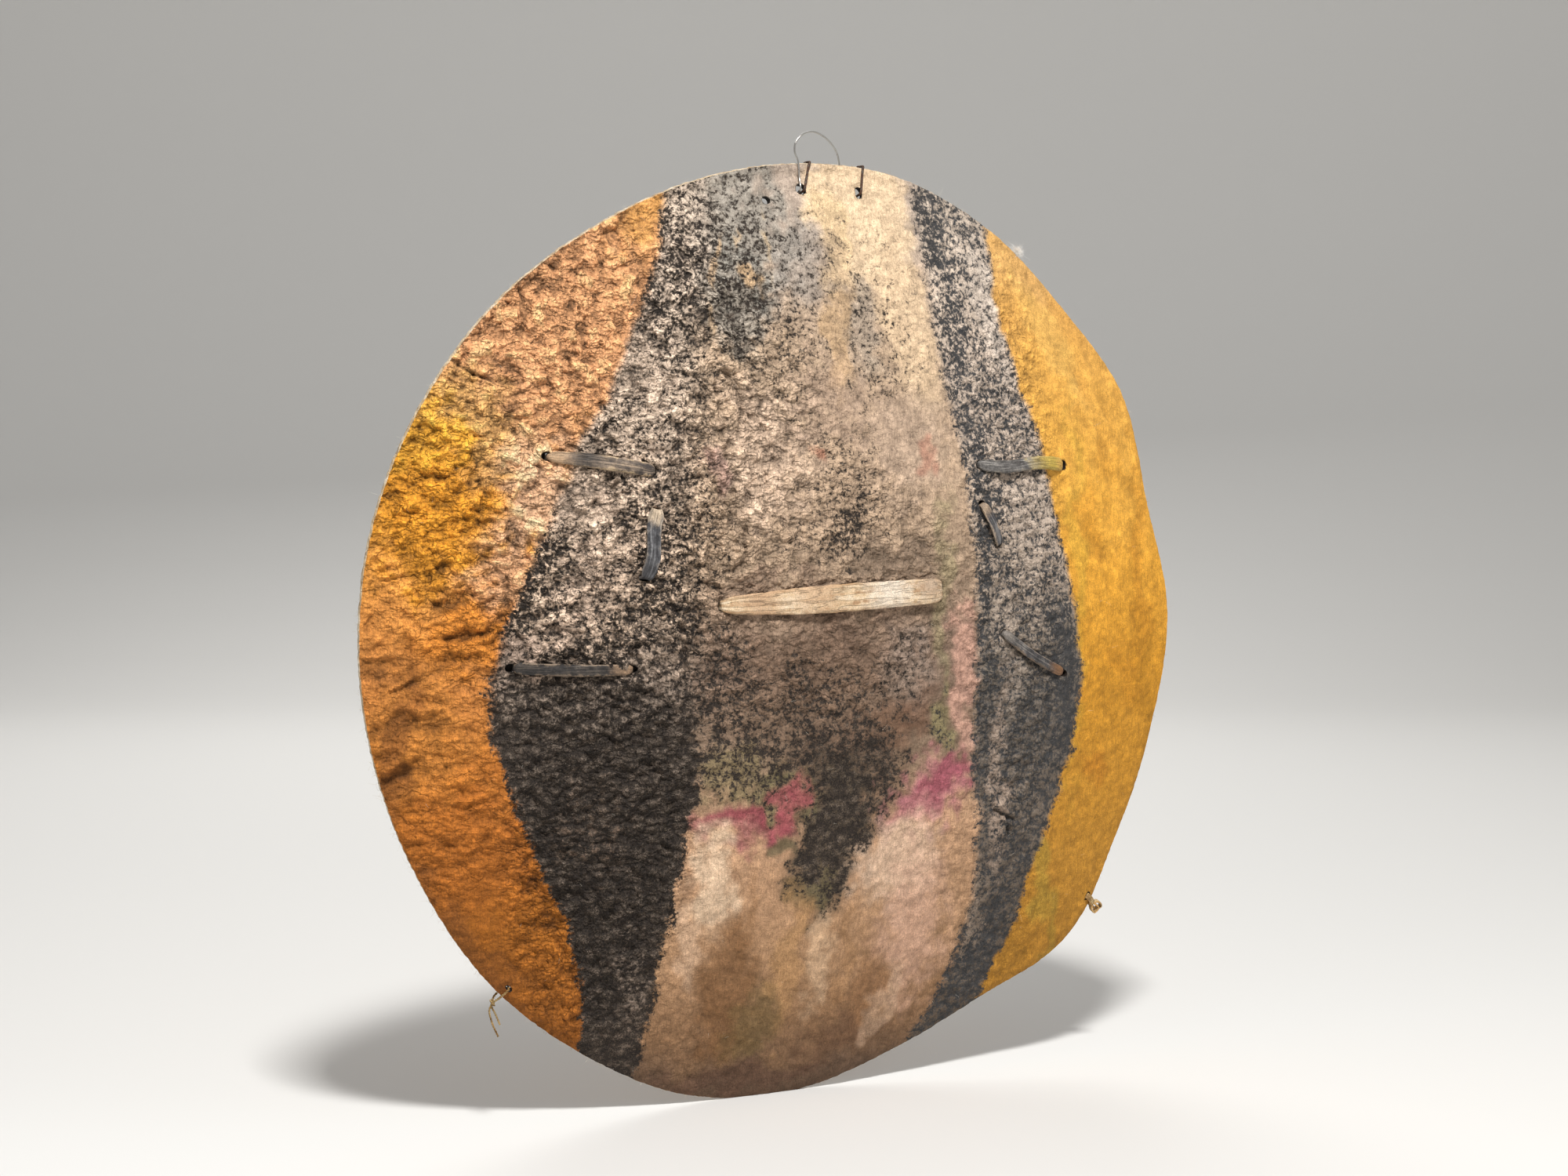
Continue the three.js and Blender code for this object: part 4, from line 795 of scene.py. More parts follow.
def wire_material(name, metal, rust, amount, roughness):
    """Drawn steel wire: bright or dulled, with rust in specks and blotches."""
    material, tree = new_material(name)
    place = put(tree, "TexCoord", out="Object")
    place = put(tree, "VectorMath", place, (1 / MM,) * 3, operation="MULTIPLY")
    spots = put(tree, "TexNoise", place, named={"Scale": 1 / 1.4, "Detail": 5, "Roughness": 0.7}, out="Fac")
    fine = put(tree, "TexNoise", place, named={"Scale": 1 / 0.25, "Detail": 3}, out="Fac")
    rusty = put(tree, "MapRange", spots, 0.62 - amount * 0.3, 0.72 - amount * 0.3, 0, 1)
    shade = put(tree, "Mix", rusty, **BLEND, named={6: metal, 7: rust})
    dull = put(tree, "MapRange", rusty, 0, 1, roughness, 0.85)
    bare = put(tree, "MapRange", rusty, 0, 1, 1, 0.1)
    relief = put(tree, "Math", spots, 1, fine, operation="MULTIPLY_ADD")
    normal = put(tree, "Bump", out="Normal",
                 named={"Strength": 0.5, "Distance": 0.08 * MM, "Height": relief})
    surface = put(tree, "BsdfPrincipled",
                  named={"Base Color": shade, "Roughness": dull, "Metallic": bare, "Normal": normal})
    put(tree, "OutputMaterial", surface)
    return material


# Earth colours and soot in thin glue, rubbed into scraped rawhide: quite matt, grainy, with painted shade in
# the creases
PAINTED = painted_hide_material()
# Rawhide where a knife cut it: dry, pale and cloudy, a little fuzzy
CUT_EDGE = raw_hide_material("cut rawhide edge", "#9A8062", "#CDB694", "#E6D8C0", 5, 1.0)
# The inside of a slit, painted near black as its shade: the eye sees only a dark mouth
SHADED_SLIT_WALL = raw_hide_material("slit wall in painted shade", "#120D0A", "#1F1712", "#30241B", 3, 0.6)
# The inner side of dried hide, never painted: horny, yellow-brown and cloudy, with a dull sheen
BARE_BACK = raw_hide_material("bare rawhide back", "#9A7450", "#B08A5E", "#C6A678", 22, 0.8, "#84603E")
# Dried sinew, split into thread: golden, stringy, slightly glossy
SINEW = strip_material("dried sinew", "#A98448", "#CDAE74", "#6E4E26", "#D8BE8C", 0.5)
# Drawn steel wire that still shines in thin bright lines
BRIGHT_WIRE = wire_material("bright steel wire", "#B5B2AC", "#6A4A34", 0.1, 0.3)
# Older, thicker iron wire gone dark, with brown specks of rust
DULL_WIRE = wire_material("rusting iron wire", "#4E4843", "#4A2E1E", 0.65, 0.5)


# The disc

# Stitches: first and last end as shares of the disc's radius, width in mm, sideways bow and S, shares of
# the width at start, middle and end, how far the two slits are torn open in mm, curl of the edges in mm
THONGS = {
    "upper_left": ((-0.621, 0.389), (-0.4, 0.357), 8.6, (0.1, 0), (0.7, 1, 0.9), (2.6, 0.4), 0.9),
    "left_upright": ((-0.4, 0.275), (-0.429, 0.139), 9.6, (0.05, -0.12), (1, 0.95, 0.95), (0.4, 1.2), -0.9),
    "lower_left": ((-0.703, -0.04), (-0.461, -0.05), 7, (-0.1, 0), (1, 1, 0.85), (4.2, 2.6), 0.3),
    "upper_right": ((0.4, 0.357), (0.646, 0.35), 9, (0, -0.16), (0.8, 0.9, 1), (0.8, 2.2), 0.5),
    "right_upright": ((0.4, 0.268), (0.443, 0.182), 7, (0.05, 0), (0.9, 1, 0.9), (2, 0.6), -0.5),
    "lower_right": ((0.457, -0.014), (0.635, -0.111), 6.6, (-0.32, 0), (0.95, 1, 0.9), (0.4, 2.4), 0.4),
}
# A strip's width where it goes through its slit, as a share of its width beside it
NECK_SHARE = 0.66
THONG_THICKNESS = 1.8
GRIP = ((-0.261, 0.075), (0.275, 0.089))
GRIP_WIDTH = 16
GRIP_THICKNESS = 3
GRIP_WIDTHS = (0.6, 1.04, 0.94)
GRIP_OPEN_SLIT = 1.2
LEFT_HOLE = (4, rim_rise(4) - 15)
RIGHT_HOLE = (45, rim_rise(45) - 15)
SPARE_HOLE = (-21, rim_rise(-21) - 20)
LOWER_LEFT_TIE, LOWER_RIGHT_TIE = math.radians(226.5), math.radians(320.5)
# Short cuts in the right black band and a lifted flake near the left rim: start, end and half width
CUTS = (
    ((127, -114), (142, -121), 1.5),
    ((137, -120), (140, -131), 1.2),
    ((-224, 164), (-212, 156), 1.3),
    ((-212, 156), (-203, 152), 1.0),
)


class Stitch:
    """Where a stitch lies: its two slits, and its directions on the hide."""

    def __init__(self, first, last):
        self.first, self.last = np.array(first) * HIDE_RADIUS, np.array(last) * HIDE_RADIUS
        self.middle = (self.first + self.last) / 2
        self.normal = face_normal(*self.middle)
        start, end = hide_point(*self.first, 0), hide_point(*self.last, 0)
        self.length = float(np.linalg.norm(end - start))
        self.along = (end - start) / self.length
        self.across = np.cross(self.normal, self.along)
        self.across /= np.linalg.norm(self.across)

    def between(self, share, depth):
        return hide_point(*self.first, -depth) * (1 - share) + hide_point(*self.last, -depth) * share

    def on_face(self, share, lift, bow):
        span = self.last - self.first
        sideways = np.array([-span[1], span[0]]) / np.linalg.norm(span)
        spot = self.first * (1 - share) + self.last * share + sideways * bow
        return hide_point(*spot, lift)


def cutter(right, up, long, wide, along, shape, floor=9, corners=20):
    """A prism with a rounded outline, square to the hide, that reaches so far behind the face."""
    normal = face_normal(right, up)
    across = unit(np.cross(normal, along))
    straight = np.cross(across, normal)
    run = squared(np.cos(turn_of(corners)), shape)[:, None] * long / 2
    rise = squared(np.sin(turn_of(corners)), shape)[:, None] * wide / 2
    outline = hide_point(right, up, 0) + straight * run + across * rise
    vertices = np.concatenate([outline - normal * floor, outline + normal * 5])
    low, high = list(range(corners)), list(range(corners, 2 * corners))
    return vertices, [low[::-1], high, *between_loops(low, high)], np.zeros((2 * corners, 2))


def slit_spots():
    """Each slit's place, its way out of the strip, the strip's thickness and width, how far it is open."""
    strips = [(first, last, THONG_THICKNESS, width, widths, opened)
              for first, last, width, _, widths, opened, _ in THONGS.values()]
    strips.append((*GRIP, GRIP_THICKNESS, GRIP_WIDTH, GRIP_WIDTHS, (GRIP_OPEN_SLIT, GRIP_OPEN_SLIT)))
    for first, last, thickness, width, widths, opened in strips:
        seat = Stitch(first, last)
        for end, spot in enumerate((seat.first, seat.last)):
            yield spot, seat.along * (-1, 1)[end], thickness, width * widths[2 * end], opened[end]


def tie_hole(angle):
    radius = float(outline_radius(angle)) - 5.5
    return radius * math.cos(angle), radius * math.sin(angle)


def cutters():
    """The holes that go right through, and the torn-open ends of the slits, which don't."""
    through, torn = [], []
    for spot, outwards, thickness, width, opened in slit_spots():
        wide = width * NECK_SHARE + 2 * SLIT_PLAY
        through.append(cutter(*spot, thickness + SLIT_PLAY, wide, outwards, 0.62))
        shift = outwards * (opened + SLIT_PLAY) / 2
        torn.append(cutter(spot[0] + shift[0], spot[1] + shift[2], thickness + opened + SLIT_PLAY,
                           wide * 0.92, outwards, 0.85, floor=2.9))
    for hole, long, wide in ((LEFT_HOLE, 7, 7), (RIGHT_HOLE, 5, 7.4), (SPARE_HOLE, 5, 5)):
        through.append(cutter(*hole, long, wide, np.array([1.0, 0, 0]), 1))
    for angle, long, wide in ((LOWER_LEFT_TIE, 2.6, 4.6), (LOWER_RIGHT_TIE, 3, 5.8)):
        spot = tie_hole(angle)
        through.append(cutter(*spot, long, wide, np.array([spot[0], 0, spot[1]]), 0.9))
    return combine(through), combine(torn)


def soft_patch(right, up, middle, half):
    """One in the middle of an oval patch, falling softly to nothing."""
    reach = np.hypot((right - middle[0]) / half[0], (up - middle[1]) / half[1])
    return step_between(1.35, 0.65, reach)


def roughness_of_hide(right, up):
    """How rough the scraped side is, from 0 for smooth skin to 1 for torn crumbs."""
    rough = 0.3 + 0.7 * soft_patch(right, up, (-150, 110), (135, 150))
    for most, middle, half in (
        (0.55, (-20, 30), (130, 90)),
        (0.85, (-145, -90), (60, 150)),
        (0.5, (-245, -60), (70, 110)),
        (0.5, (140, 40), (50, 200)),
    ):
        rough = np.maximum(rough, most * soft_patch(right, up, middle, half))
    rough = rough * (1 - 0.5 * step_between(150, 200, right))
    return rough * (1 - 0.35 * soft_patch(right, up, (10, -200), (90, 90)))


def swells(right, up):
    """Slow swells of the whole hide, which its paint doesn't follow."""
    return 1.4 * grain(right, up, 85, 3, 2)


def relief(right, up):
    """The hide's lumps, dents and creases in front in mm, with its cracks from 0 to 1."""
    rough = roughness_of_hide(right, up)
    bent_right = right + 4 * grain(right, up, 13, 71, 2)
    bent_up = up + 4 * grain(right, up, 13, 73, 2)
    rise = swells(right, up)
    crumbs = np.abs(grain(bent_right, bent_up, 15, 5)) + 0.6 * np.abs(grain(bent_right, bent_up, 7.5, 6))
    crumbs = crumbs + 0.45 * np.abs(grain(right, up, 4.5, 7))
    rise = rise + rough * (3.4 * crumbs - 2.1)
    plates = grain(right, up, 24, 9, 3)
    rise = rise + rough * 1.1 * (step_between(-0.06, 0.06, plates) - 0.5)
    cracks = np.exp(-(grain(bent_right, bent_up, 17, 15, 2) / 0.05) ** 2)
    cracks = cracks * step_between(0.1, 0.5, grain(right, up, 44, 19)) * rough
    # Creases that run across the left flank and climb to the right: lumpy above, long and flat below
    lumpy = soft_patch(right, up, (-240, 85), (50, 75))
    rise = rise + lumpy * 2.6 * (0.4 - np.abs(grain(0.45 * right, up - 0.25 * right, 9, 23, 2)))
    flank = soft_patch(right, up, (-262, -40), (72, 100))
    slant = 8 * grain(right, up, 34, 31, 2) + up - 0.3 * right
    rise = rise + flank * 4.4 * (0.3 - np.abs(grain(0.3 * right, slant, 15, 33, 2)))
    # Folds that fan over the right flank, and shallow dents in the rest of the smooth skin
    fold = soft_patch(right, up, (222, 90), (46, 90))
    rise = rise + fold * 3.4 * (0.3 - np.abs(grain(0.8 * right + 0.5 * up, 0.25 * (up - right), 17, 43, 2)))
    rise = rise + 0.8 * grain(right, up, 16, 47, 3)
    # Dents and puckers round the slits and holes
    for spot, _, _, width, _ in slit_spots():
        gap = np.hypot(right - spot[0], up - spot[1])
        rise = rise + 0.7 * np.exp(-((gap - width * 0.55) / 3.2) ** 2)
        rise = rise - 0.9 * np.exp(-(gap / (width * 0.5)) ** 2)
    for hole in (LEFT_HOLE, RIGHT_HOLE):
        gap = np.hypot(right - hole[0], up - hole[1])
        rise = rise - 0.8 * np.exp(-(gap / 4.5) ** 2) + 0.3 * np.exp(-((gap - 8) / 3) ** 2)
    diamond = np.abs(right - SPARE_HOLE[0]) / 5.2 + np.abs(up - SPARE_HOLE[1] - 1.5) / 7.5
    rise = rise - 1.3 * step_between(1.1, 0.5, diamond)
    for start, end, wide in CUTS:
        run = np.subtract(end, start)
        away_right, away_up = right - start[0], up - start[1]
        share = np.clip((away_right * run[0] + away_up * run[1]) / (run @ run), 0, 1)
        gap = np.hypot(away_right - run[0] * share, away_up - run[1] * share)
        gap = gap + 0.5 * grain(right, up, 4, 37)
        rise = rise - 1.5 * np.exp(-(gap / wide) ** 2) + 0.5 * np.exp(-((gap - 2.4 * wide) / wide) ** 2)
        cracks = np.maximum(cracks, np.exp(-(gap / (0.8 * wide)) ** 2))
    return rise - 0.8 * cracks, cracks


def disc_grid(cells):
    """A square grid drawn out to a round one: its angles and its shares of the radius."""
    side = np.linspace(-1, 1, cells + 1)
    a, b = np.meshgrid(side, side, indexing="ij")
    wide = np.abs(a) > np.abs(b)
    safe_a, safe_b = np.where(a == 0, 1, a), np.where(b == 0, 1, b)
    spoke = np.where(wide, a, b)
    angle = np.where(wide, math.pi / 4 * b / safe_a, math.pi / 2 - math.pi / 4 * a / safe_b)
    angle = np.where((a == 0) & (b == 0), 0, angle)
    return np.arctan2(spoke * np.sin(angle), spoke * np.cos(angle)), np.abs(spoke)


def hide_disc():
    cells, wall_steps = 400, 5
    angle, share = disc_grid(cells)
    ragged = 1 + 0.0016 * grain(angle * 280, share * 0, 5, 41, 3) * step_between(0.97, 1, share)
    radius = outline_radius(angle) * share * ragged
    right, up = radius * np.cos(angle), np.maximum(radius * np.sin(angle), -FLAT_HEIGHT)
    near_rim = step_between(0.985, 1, share)
    near_flat = step_between(-FLAT_HEIGHT + 12, -FLAT_HEIGHT, up)
    own_rise, cracks = relief(right, up)
    front_rise = own_rise * (1 - 0.75 * near_rim) * (1 - 0.6 * near_flat) - 0.5 * near_rim
    # A low groove just inside the curled lip at the top
    height = share * np.sin(angle)
    lip = step_between(0.955, 0.975, share) * step_between(0.992, 0.98, share)
    lip = lip * step_between(0.25, 0.6, height)
    back_rise = 0.5 * grain(right, up, 60, 51, 2)
    back_rise = back_rise + 0.35 * grain(right, up, 14, 53, 3) * (1 - near_rim) + 0.4 * near_rim
    front = hide_point(right, up, front_rise - 0.9 * lip).reshape(-1, 3)
    back = hide_point(right, up, -HIDE_THICKNESS + back_rise).reshape(-1, 3)
    size = len(front)
    index = np.arange(size).reshape(cells + 1, cells + 1)
    quads = np.stack([index[:-1, :-1], index[1:, :-1], index[1:, 1:], index[:-1, 1:]], axis=-1)
    quads = quads.reshape(-1, 4)
    rim = np.concatenate([index[:-1, 0], index[-1, :-1], index[:0:-1, -1], index[0, :0:-1]])
    rim_front, rim_back = front[rim], back[rim]
    outwards = unit(rim_front * (1, 0, 1))
    run = np.arctan2(rim_front[:, 2], rim_front[:, 0]) * 280
    on_floor = rim_front[:, 2] < -FLAT_HEIGHT + 0.4
    wall = []
    for step in range(1, wall_steps):
        part = step / wall_steps
        bulge = 0.55 * math.sin(part * math.pi) + 0.3 * grain(run, run * 0 + part * 6, 2.4, 61, 2)
        row = rim_front * (1 - part) + rim_back * part + outwards * np.where(on_floor, 0, bulge)[:, None]
        row[:, 2] = np.maximum(row[:, 2], -FLAT_HEIGHT)
        wall.append(row)
    vertices = np.concatenate([front, back, *wall])
    rows = [2 * size + step * len(rim) + np.arange(len(rim)) for step in range(wall_steps - 1)]
    loops = [rim, *rows, rim + size]
    rim_faces = [face for near, far in zip(loops, loops[1:]) for face in between_loops(near, far)]
    faces = [*quads[:, ::-1].tolist(), *(quads + size).tolist(), *rim_faces]
    skins = [PAINTED, CUT_EDGE, BARE_BACK, SHADED_SLIT_WALL]
    piece = mesh_object("hide_disc_dressed", vertices, faces, skins)
    slots = np.repeat(np.array([0, 2, 1], np.int32), [len(quads), len(quads), len(rim_faces)])
    piece.data.polygons.foreach_set("material_index", slots)
    # At each point the paint, and then how much black covers it and how rough the hide is
    rough = roughness_of_hide(right, up)
    paint, cover = paint_on_hide(right, up, own_rise - swells(right, up), cracks, rough)
    lie = np.stack([cover, rough, np.zeros_like(rough)], axis=-1)
    for title, values in (("earth_paint", paint), ("hide_lie", lie)):
        spread = np.zeros((len(vertices), 3))
        spread[:size] = values.reshape(-1, 3)
        piece.data.attributes.new(title, "FLOAT_VECTOR", "POINT").data.foreach_set("vector", spread.ravel())
    knives = [mesh_object("knife", *parts[:2], skins, smooth=False, body=None) for parts in cutters()]
    for checked in (piece, *knives):
        shape = bmesh.new()
        shape.from_mesh(checked.data)
        bmesh.ops.recalc_face_normals(shape, faces=shape.faces)
        shape.to_mesh(checked.data)
        shape.free()
    for knife in knives:
        knife.data.polygons.foreach_set("material_index", [3] * len(knife.data.polygons))
        cut = piece.modifiers.new("slits", "BOOLEAN")
        cut.operation = "DIFFERENCE"
        cut.solver = "MANIFOLD"
        cut.object = knife
    carved = bpy.data.meshes.new_from_object(piece.evaluated_get(bpy.context.evaluated_depsgraph_get()))
    piece.modifiers.clear()
    piece.data = carved
    carved.shade_smooth()
    carved.set_sharp_from_angle(angle=math.radians(50))
    for knife in knives:
        bpy.data.objects.remove(knife)
    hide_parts("hide_disc")


hide_disc()


# Thongs, straps and grip

STRAP_THICKNESS = 2.4
ARM_STRAP_WIDTH = 30
CARRYING_STRAP_WIDTH = 11
STRAP_WIDTHS = {"left_upright": CARRYING_STRAP_WIDTH, "right_upright": CARRYING_STRAP_WIDTH}
# Radius of a bend in a thong or a wire
BEND = 1.9
LASHING_CORD = 0.85
LASHING_TURNS = 4


def three_way(values, share):
    start, middle, end = values
    blend = math.sin(share * math.pi)
    return (start if share < 0.5 else end) * (1 - blend) + middle * blend


def stack_depths(strap_width):
    """Depths of the layers behind the face where a strap's end wraps the closed back of a thong."""
    dish_rise = DOME_HEIGHT * (strap_width / 2 / HIDE_RADIUS) ** 2
    tail = HIDE_THICKNESS + SEAT_GAP + dish_rise + STRAP_THICKNESS / 2
    inner = tail + STRAP_THICKNESS / 2 + SEAT_GAP + THONG_THICKNESS / 2
    outer = inner + THONG_THICKNESS + SEAT_GAP
    over = outer + THONG_THICKNESS / 2 + SEAT_GAP + STRAP_THICKNESS / 2
    return tail, inner, outer, over


def round_corners(points, radius, steps=5):
    """Rounds the sharp corners of a path of points."""
    points = [np.asarray(point, float) for point in points]
    rounded = [points[0]]
    for before, here, after in zip(points, points[1:], points[2:]):
        back, ahead = unit(before - here), unit(after - here)
        turn = math.pi - math.acos(np.clip(np.dot(back, ahead), -1, 1))
        if turn < math.radians(20):
            rounded.append(here)
            continue
        room = 0.49 * min(np.linalg.norm(before - here), np.linalg.norm(after - here))
        reach = min(radius * math.tan(turn / 2), room)
        start, end = here + back * reach, here + ahead * reach
        for part in np.arange(steps + 1) / steps:
            rounded.append(start * (1 - part) ** 2 + 2 * here * part * (1 - part) + end * part ** 2)
    return rounded + [points[-1]]


def face_run(seat, thickness, width, widths, arch, bows):
    """The strip's middle line on the face from last slit to first, with its widths: round at both ends."""
    points, spans = [], []
    round_end = width * 0.55 / seat.length
    for share in np.linspace(1, 0, 61):
        ease = min(1, min(share, 1 - share) / round_end)
        rounded = NECK_SHARE + (1 - NECK_SHARE) * math.sqrt(1 - (1 - ease) ** 2)
        lift = SEAT_GAP + thickness / 2 + arch * math.sin(share * math.pi) ** 0.6
        bow = width * (bows[0] * math.sin(share * math.pi) + bows[1] * math.sin(2 * share * math.pi))
        points.append(seat.on_face(share, lift, bow))
        spans.append(width * three_way(widths, share) * rounded)
    return points, spans


def thong(name, material, seed):
    first, last, width, bows, widths, _, curl = THONGS[name]
    seat = Stitch(first, last)
    strap_width = STRAP_WIDTHS.get(name, ARM_STRAP_WIDTH)
    _, inner, outer, _ = stack_depths(strap_width)
    run, spans = face_run(seat, THONG_THICKNESS, width, widths, 1.5, bows)
    inset = BEND * 1.3 / seat.length
    start, end = width * widths[0], width * widths[2]
    inside = HIDE_THICKNESS / 2
    path = [*(seat.between(share, depth) for share, depth in
              ((inset, outer), (0.5, outer), (1 - 3 * inset, outer), (1, outer), (1, inside))),
            *run,
            *(seat.between(share, depth) for share, depth in
              ((0, inside), (0, inner), (3 * inset, inner), (1 - inset, inner)))]
    spans = [*[end] * 3, end * 0.8, end * NECK_SHARE, *spans, start * NECK_SHARE, start * 0.8, start, start]
    # On the face its lower edge stands off, so the strip turns a little about its length
    sides = [seat.across] * 5 + [seat.across - seat.normal * 0.2 * math.sin(share * math.pi)
                                 for share in np.linspace(0, 1, len(run))] + [seat.across] * 4
    rounded = round_corners(path, 1.7)
    lengths, fine = run_lengths(path), run_lengths(rounded)
    places = fine / fine[-1] * lengths[-1]
    vertices, faces, uvs = hide_strip(rounded, spread_along(places, lengths, sides),
                                      np.interp(places, lengths, spans), THONG_THICKNESS, seed, spacing=0.7,
                                      cup=curl, lumps=0.22, nicks=0.07)
    piece = mesh_object(name + "_thong_dressed", vertices, faces, [material], uvs=uvs)
    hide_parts(name + "_thong")
    # The sinew wrap round its tails
    share = ((seat.length - strap_width) / 2 + BEND) / 2 / seat.length
    half_width = width * max(widths[0], widths[2]) / 2 + SEAT_GAP + LASHING_CORD / 2
    half_depth = (outer - inner) / 2 + THONG_THICKNESS / 2 + SEAT_GAP + LASHING_CORD / 2
    turns = np.arange(24 * LASHING_TURNS + 1)[:, None] / 24
    points = (seat.between(share, (inner + outer) / 2)
              + seat.across * half_width * squared(np.cos(turns * 2 * math.pi), 0.35)
              + seat.normal * half_depth * squared(np.sin(turns * 2 * math.pi), 0.35)
              + seat.along * (turns - LASHING_TURNS / 2) * LASHING_CORD * 0.98)
    wrap = wire(points, LASHING_CORD / 2, sides=8, spacing=0.5, rounding=2, seed=seed, waver=0.12)
    piece = mesh_object(name + "_lashing_dressed", *wrap[:2], [SINEW], uvs=wrap[2])
    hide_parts(name + "_lashing")


def strap_end(seat, thong_width, strap_width, towards):
    tail, inner, _, over = stack_depths(strap_width)
    base = seat.between(0.5, inner)
    inwards = seat.across * (1 if np.dot(seat.across, towards) > 0 else -1)
    radius = (over - tail) / 2

    def at(forward, depth):
        return base + inwards * forward - seat.normal * (depth - inner)

    points = [at(thong_width / 2 + 12, tail), at(0, tail)]
    for step in range(9):
        angle = (step / 4 - 1) * math.pi / 2
        points.append(at(-thong_width / 2 - radius * math.cos(angle),
                         (tail + over) / 2 + radius * math.sin(angle)))
    points += [at(0, over), at(thong_width / 2 + 2, over)]
    return points, inwards


def bezier(a, b, c, d, count):
    share = np.linspace(0, 1, count)[:, None]
    left = 1 - share
    return a * left ** 3 + 3 * b * share * left ** 2 + 3 * c * share ** 2 * left + d * share ** 3


def strap(name, first_name, last_name, width, rise, mid_handle, dip, material, seed):
    seats = [Stitch(*THONGS[key][:2]) for key in (first_name, last_name)]
    span = hide_point(*seats[1].middle, 0) - hide_point(*seats[0].middle, 0)
    first, first_in = strap_end(seats[0], THONGS[first_name][2], width, span)
    last, last_in = strap_end(seats[1], THONGS[last_name][2], width, -span)
    start, end = first[-1], last[-1]
    crown = (start + end) / 2 + np.array([0, rise, -dip])
    heading = unit(end - start)
    bow = [*bezier(start, start + first_in * 14, crown - heading * mid_handle, crown, 24)[1:],
           *bezier(crown, crown + heading * mid_handle, end + last_in * 14, end, 24)[1:-1]]
    points = [*first, *bow, *last[::-1]]
    other = seats[1].along * np.sign(np.dot(seats[0].along, seats[1].along))
    shares = step_between(0, 1, (np.arange(len(bow)) + 1) / (len(bow) + 1))[:, None]
    sides = np.concatenate([[seats[0].along] * len(first), seats[0].along * (1 - shares) + other * shares,
                            [other] * len(last)])
    vertices, faces, uvs = hide_strip(points, sides, [width] * len(points), STRAP_THICKNESS, seed,
                                      spacing=1.3, lumps=0.12, nicks=0.02, corners=34)
    piece = mesh_object(name + "_dressed", vertices, faces, [material], uvs=uvs)
    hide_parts(name)


# Each thong's stained hide: body, rubbed crests, hollows, edges, and patches of another colour
THONG_LOOKS = {
    "upper_left": ("#77685A", "#A38D76", "#3A322E", "#BFA684",
                   (("#C2A07C", (-170, 108), 12), ("#2E2A28", (-150, 110), 12))),
    "left_upright": ("#5A595B", "#7E7D7E", "#302F31", "#8C8074",
                     (("#CDB699", (-113, 75), 9), ("#3A3839", (-120, 42), 9))),
    "lower_left": ("#37312D", "#51483F", "#1D1A18", "#8F7A64", (("#A8886A", (-134, -13), 10),)),
    "upper_right": ("#74706C", "#97918A", "#46423F", "#8E857A",
                    (("#BDA146", (173, 98), 26), ("#C79A50", (180, 98), 8))),
    "right_upright": ("#565354", "#787573", "#302E2F", "#B39C84", (("#BBA083", (113, 73), 7),)),
    "lower_right": ("#504D4D", "#7B756F", "#2A2827", "#8C7660",
                    (("#8A6240", (175, -29), 12), ("#8A8178", (130, -5), 9))),
}
for number, (name, (*shades, patches)) in enumerate(THONG_LOOKS.items()):
    stained_hide = strip_material(name.replace("_", " ") + " thong hide", *shades, patches=patches)
    thong(name, stained_hide, 100 + 7 * number)

# Tanned strap hide, dark from hands and wear: brown, creased, with rubbed lighter edges
STRAP_LEATHER = strip_material("worn strap leather", "#5E4230", "#84634A", "#33221A", "#9A7450", 0.58)
for number, side in enumerate(("left", "right")):
    strap(side + "_arm_strap", f"upper_{side}", f"lower_{side}", ARM_STRAP_WIDTH, 42, 30, 0, STRAP_LEATHER,
          200 + number)
strap("carrying_strap", "left_upright", "right_upright", CARRYING_STRAP_WIDTH, 34, 62, 8, STRAP_LEATHER, 207)

GRIP_RISE = 40
GRIP_POWER = 2.5
grip_seat = Stitch(*GRIP)
# Scraped rawhide without paint: cream, flaky along its length, chalky where it was rubbed
GRIP_PATCHES = (("#E6D6C2", (38, 27), 22), ("#B9A088", (68, 28), 14), ("#BE9A78", (-50, 24), 18),
                ("#C8A684", (-16, 30), 20))
GRIP_HIDE = strip_material("pale scraped rawhide", "#D6B994", "#E6D0B2", "#AE8A66", "#AA845E", 0.7,
                           GRIP_PATCHES, 0.7)
# Soft tanned leather polished by the hand: dark brown and the glossiest hide here
WRAP_LEATHER = strip_material("hand-polished wrap leather", "#4B3222", "#6B4A34", "#2B1B12", "#7C583C", 0.42)


def grip_bow(angle, offset):
    """A point of the grip's bow on the back, at an angle from its right leg, offset outwards."""
    start, end = (grip_seat.between(share, HIDE_THICKNESS + SEAT_GAP) for share in (0, 1))
    reach = np.linalg.norm(end - start) / 2
    power = 2 / GRIP_POWER

    def at(place):
        rise = max(0.0, math.sin(place))
        return np.array([reach * squared(math.cos(place), power), GRIP_RISE * rise ** power])

    along = unit(at(angle + 0.02) - at(angle - 0.02))
    here = at(angle) + np.array([along[1], -along[0]]) * offset
    return (start + end) / 2 + grip_seat.along * here[0] - grip_seat.normal * here[1]


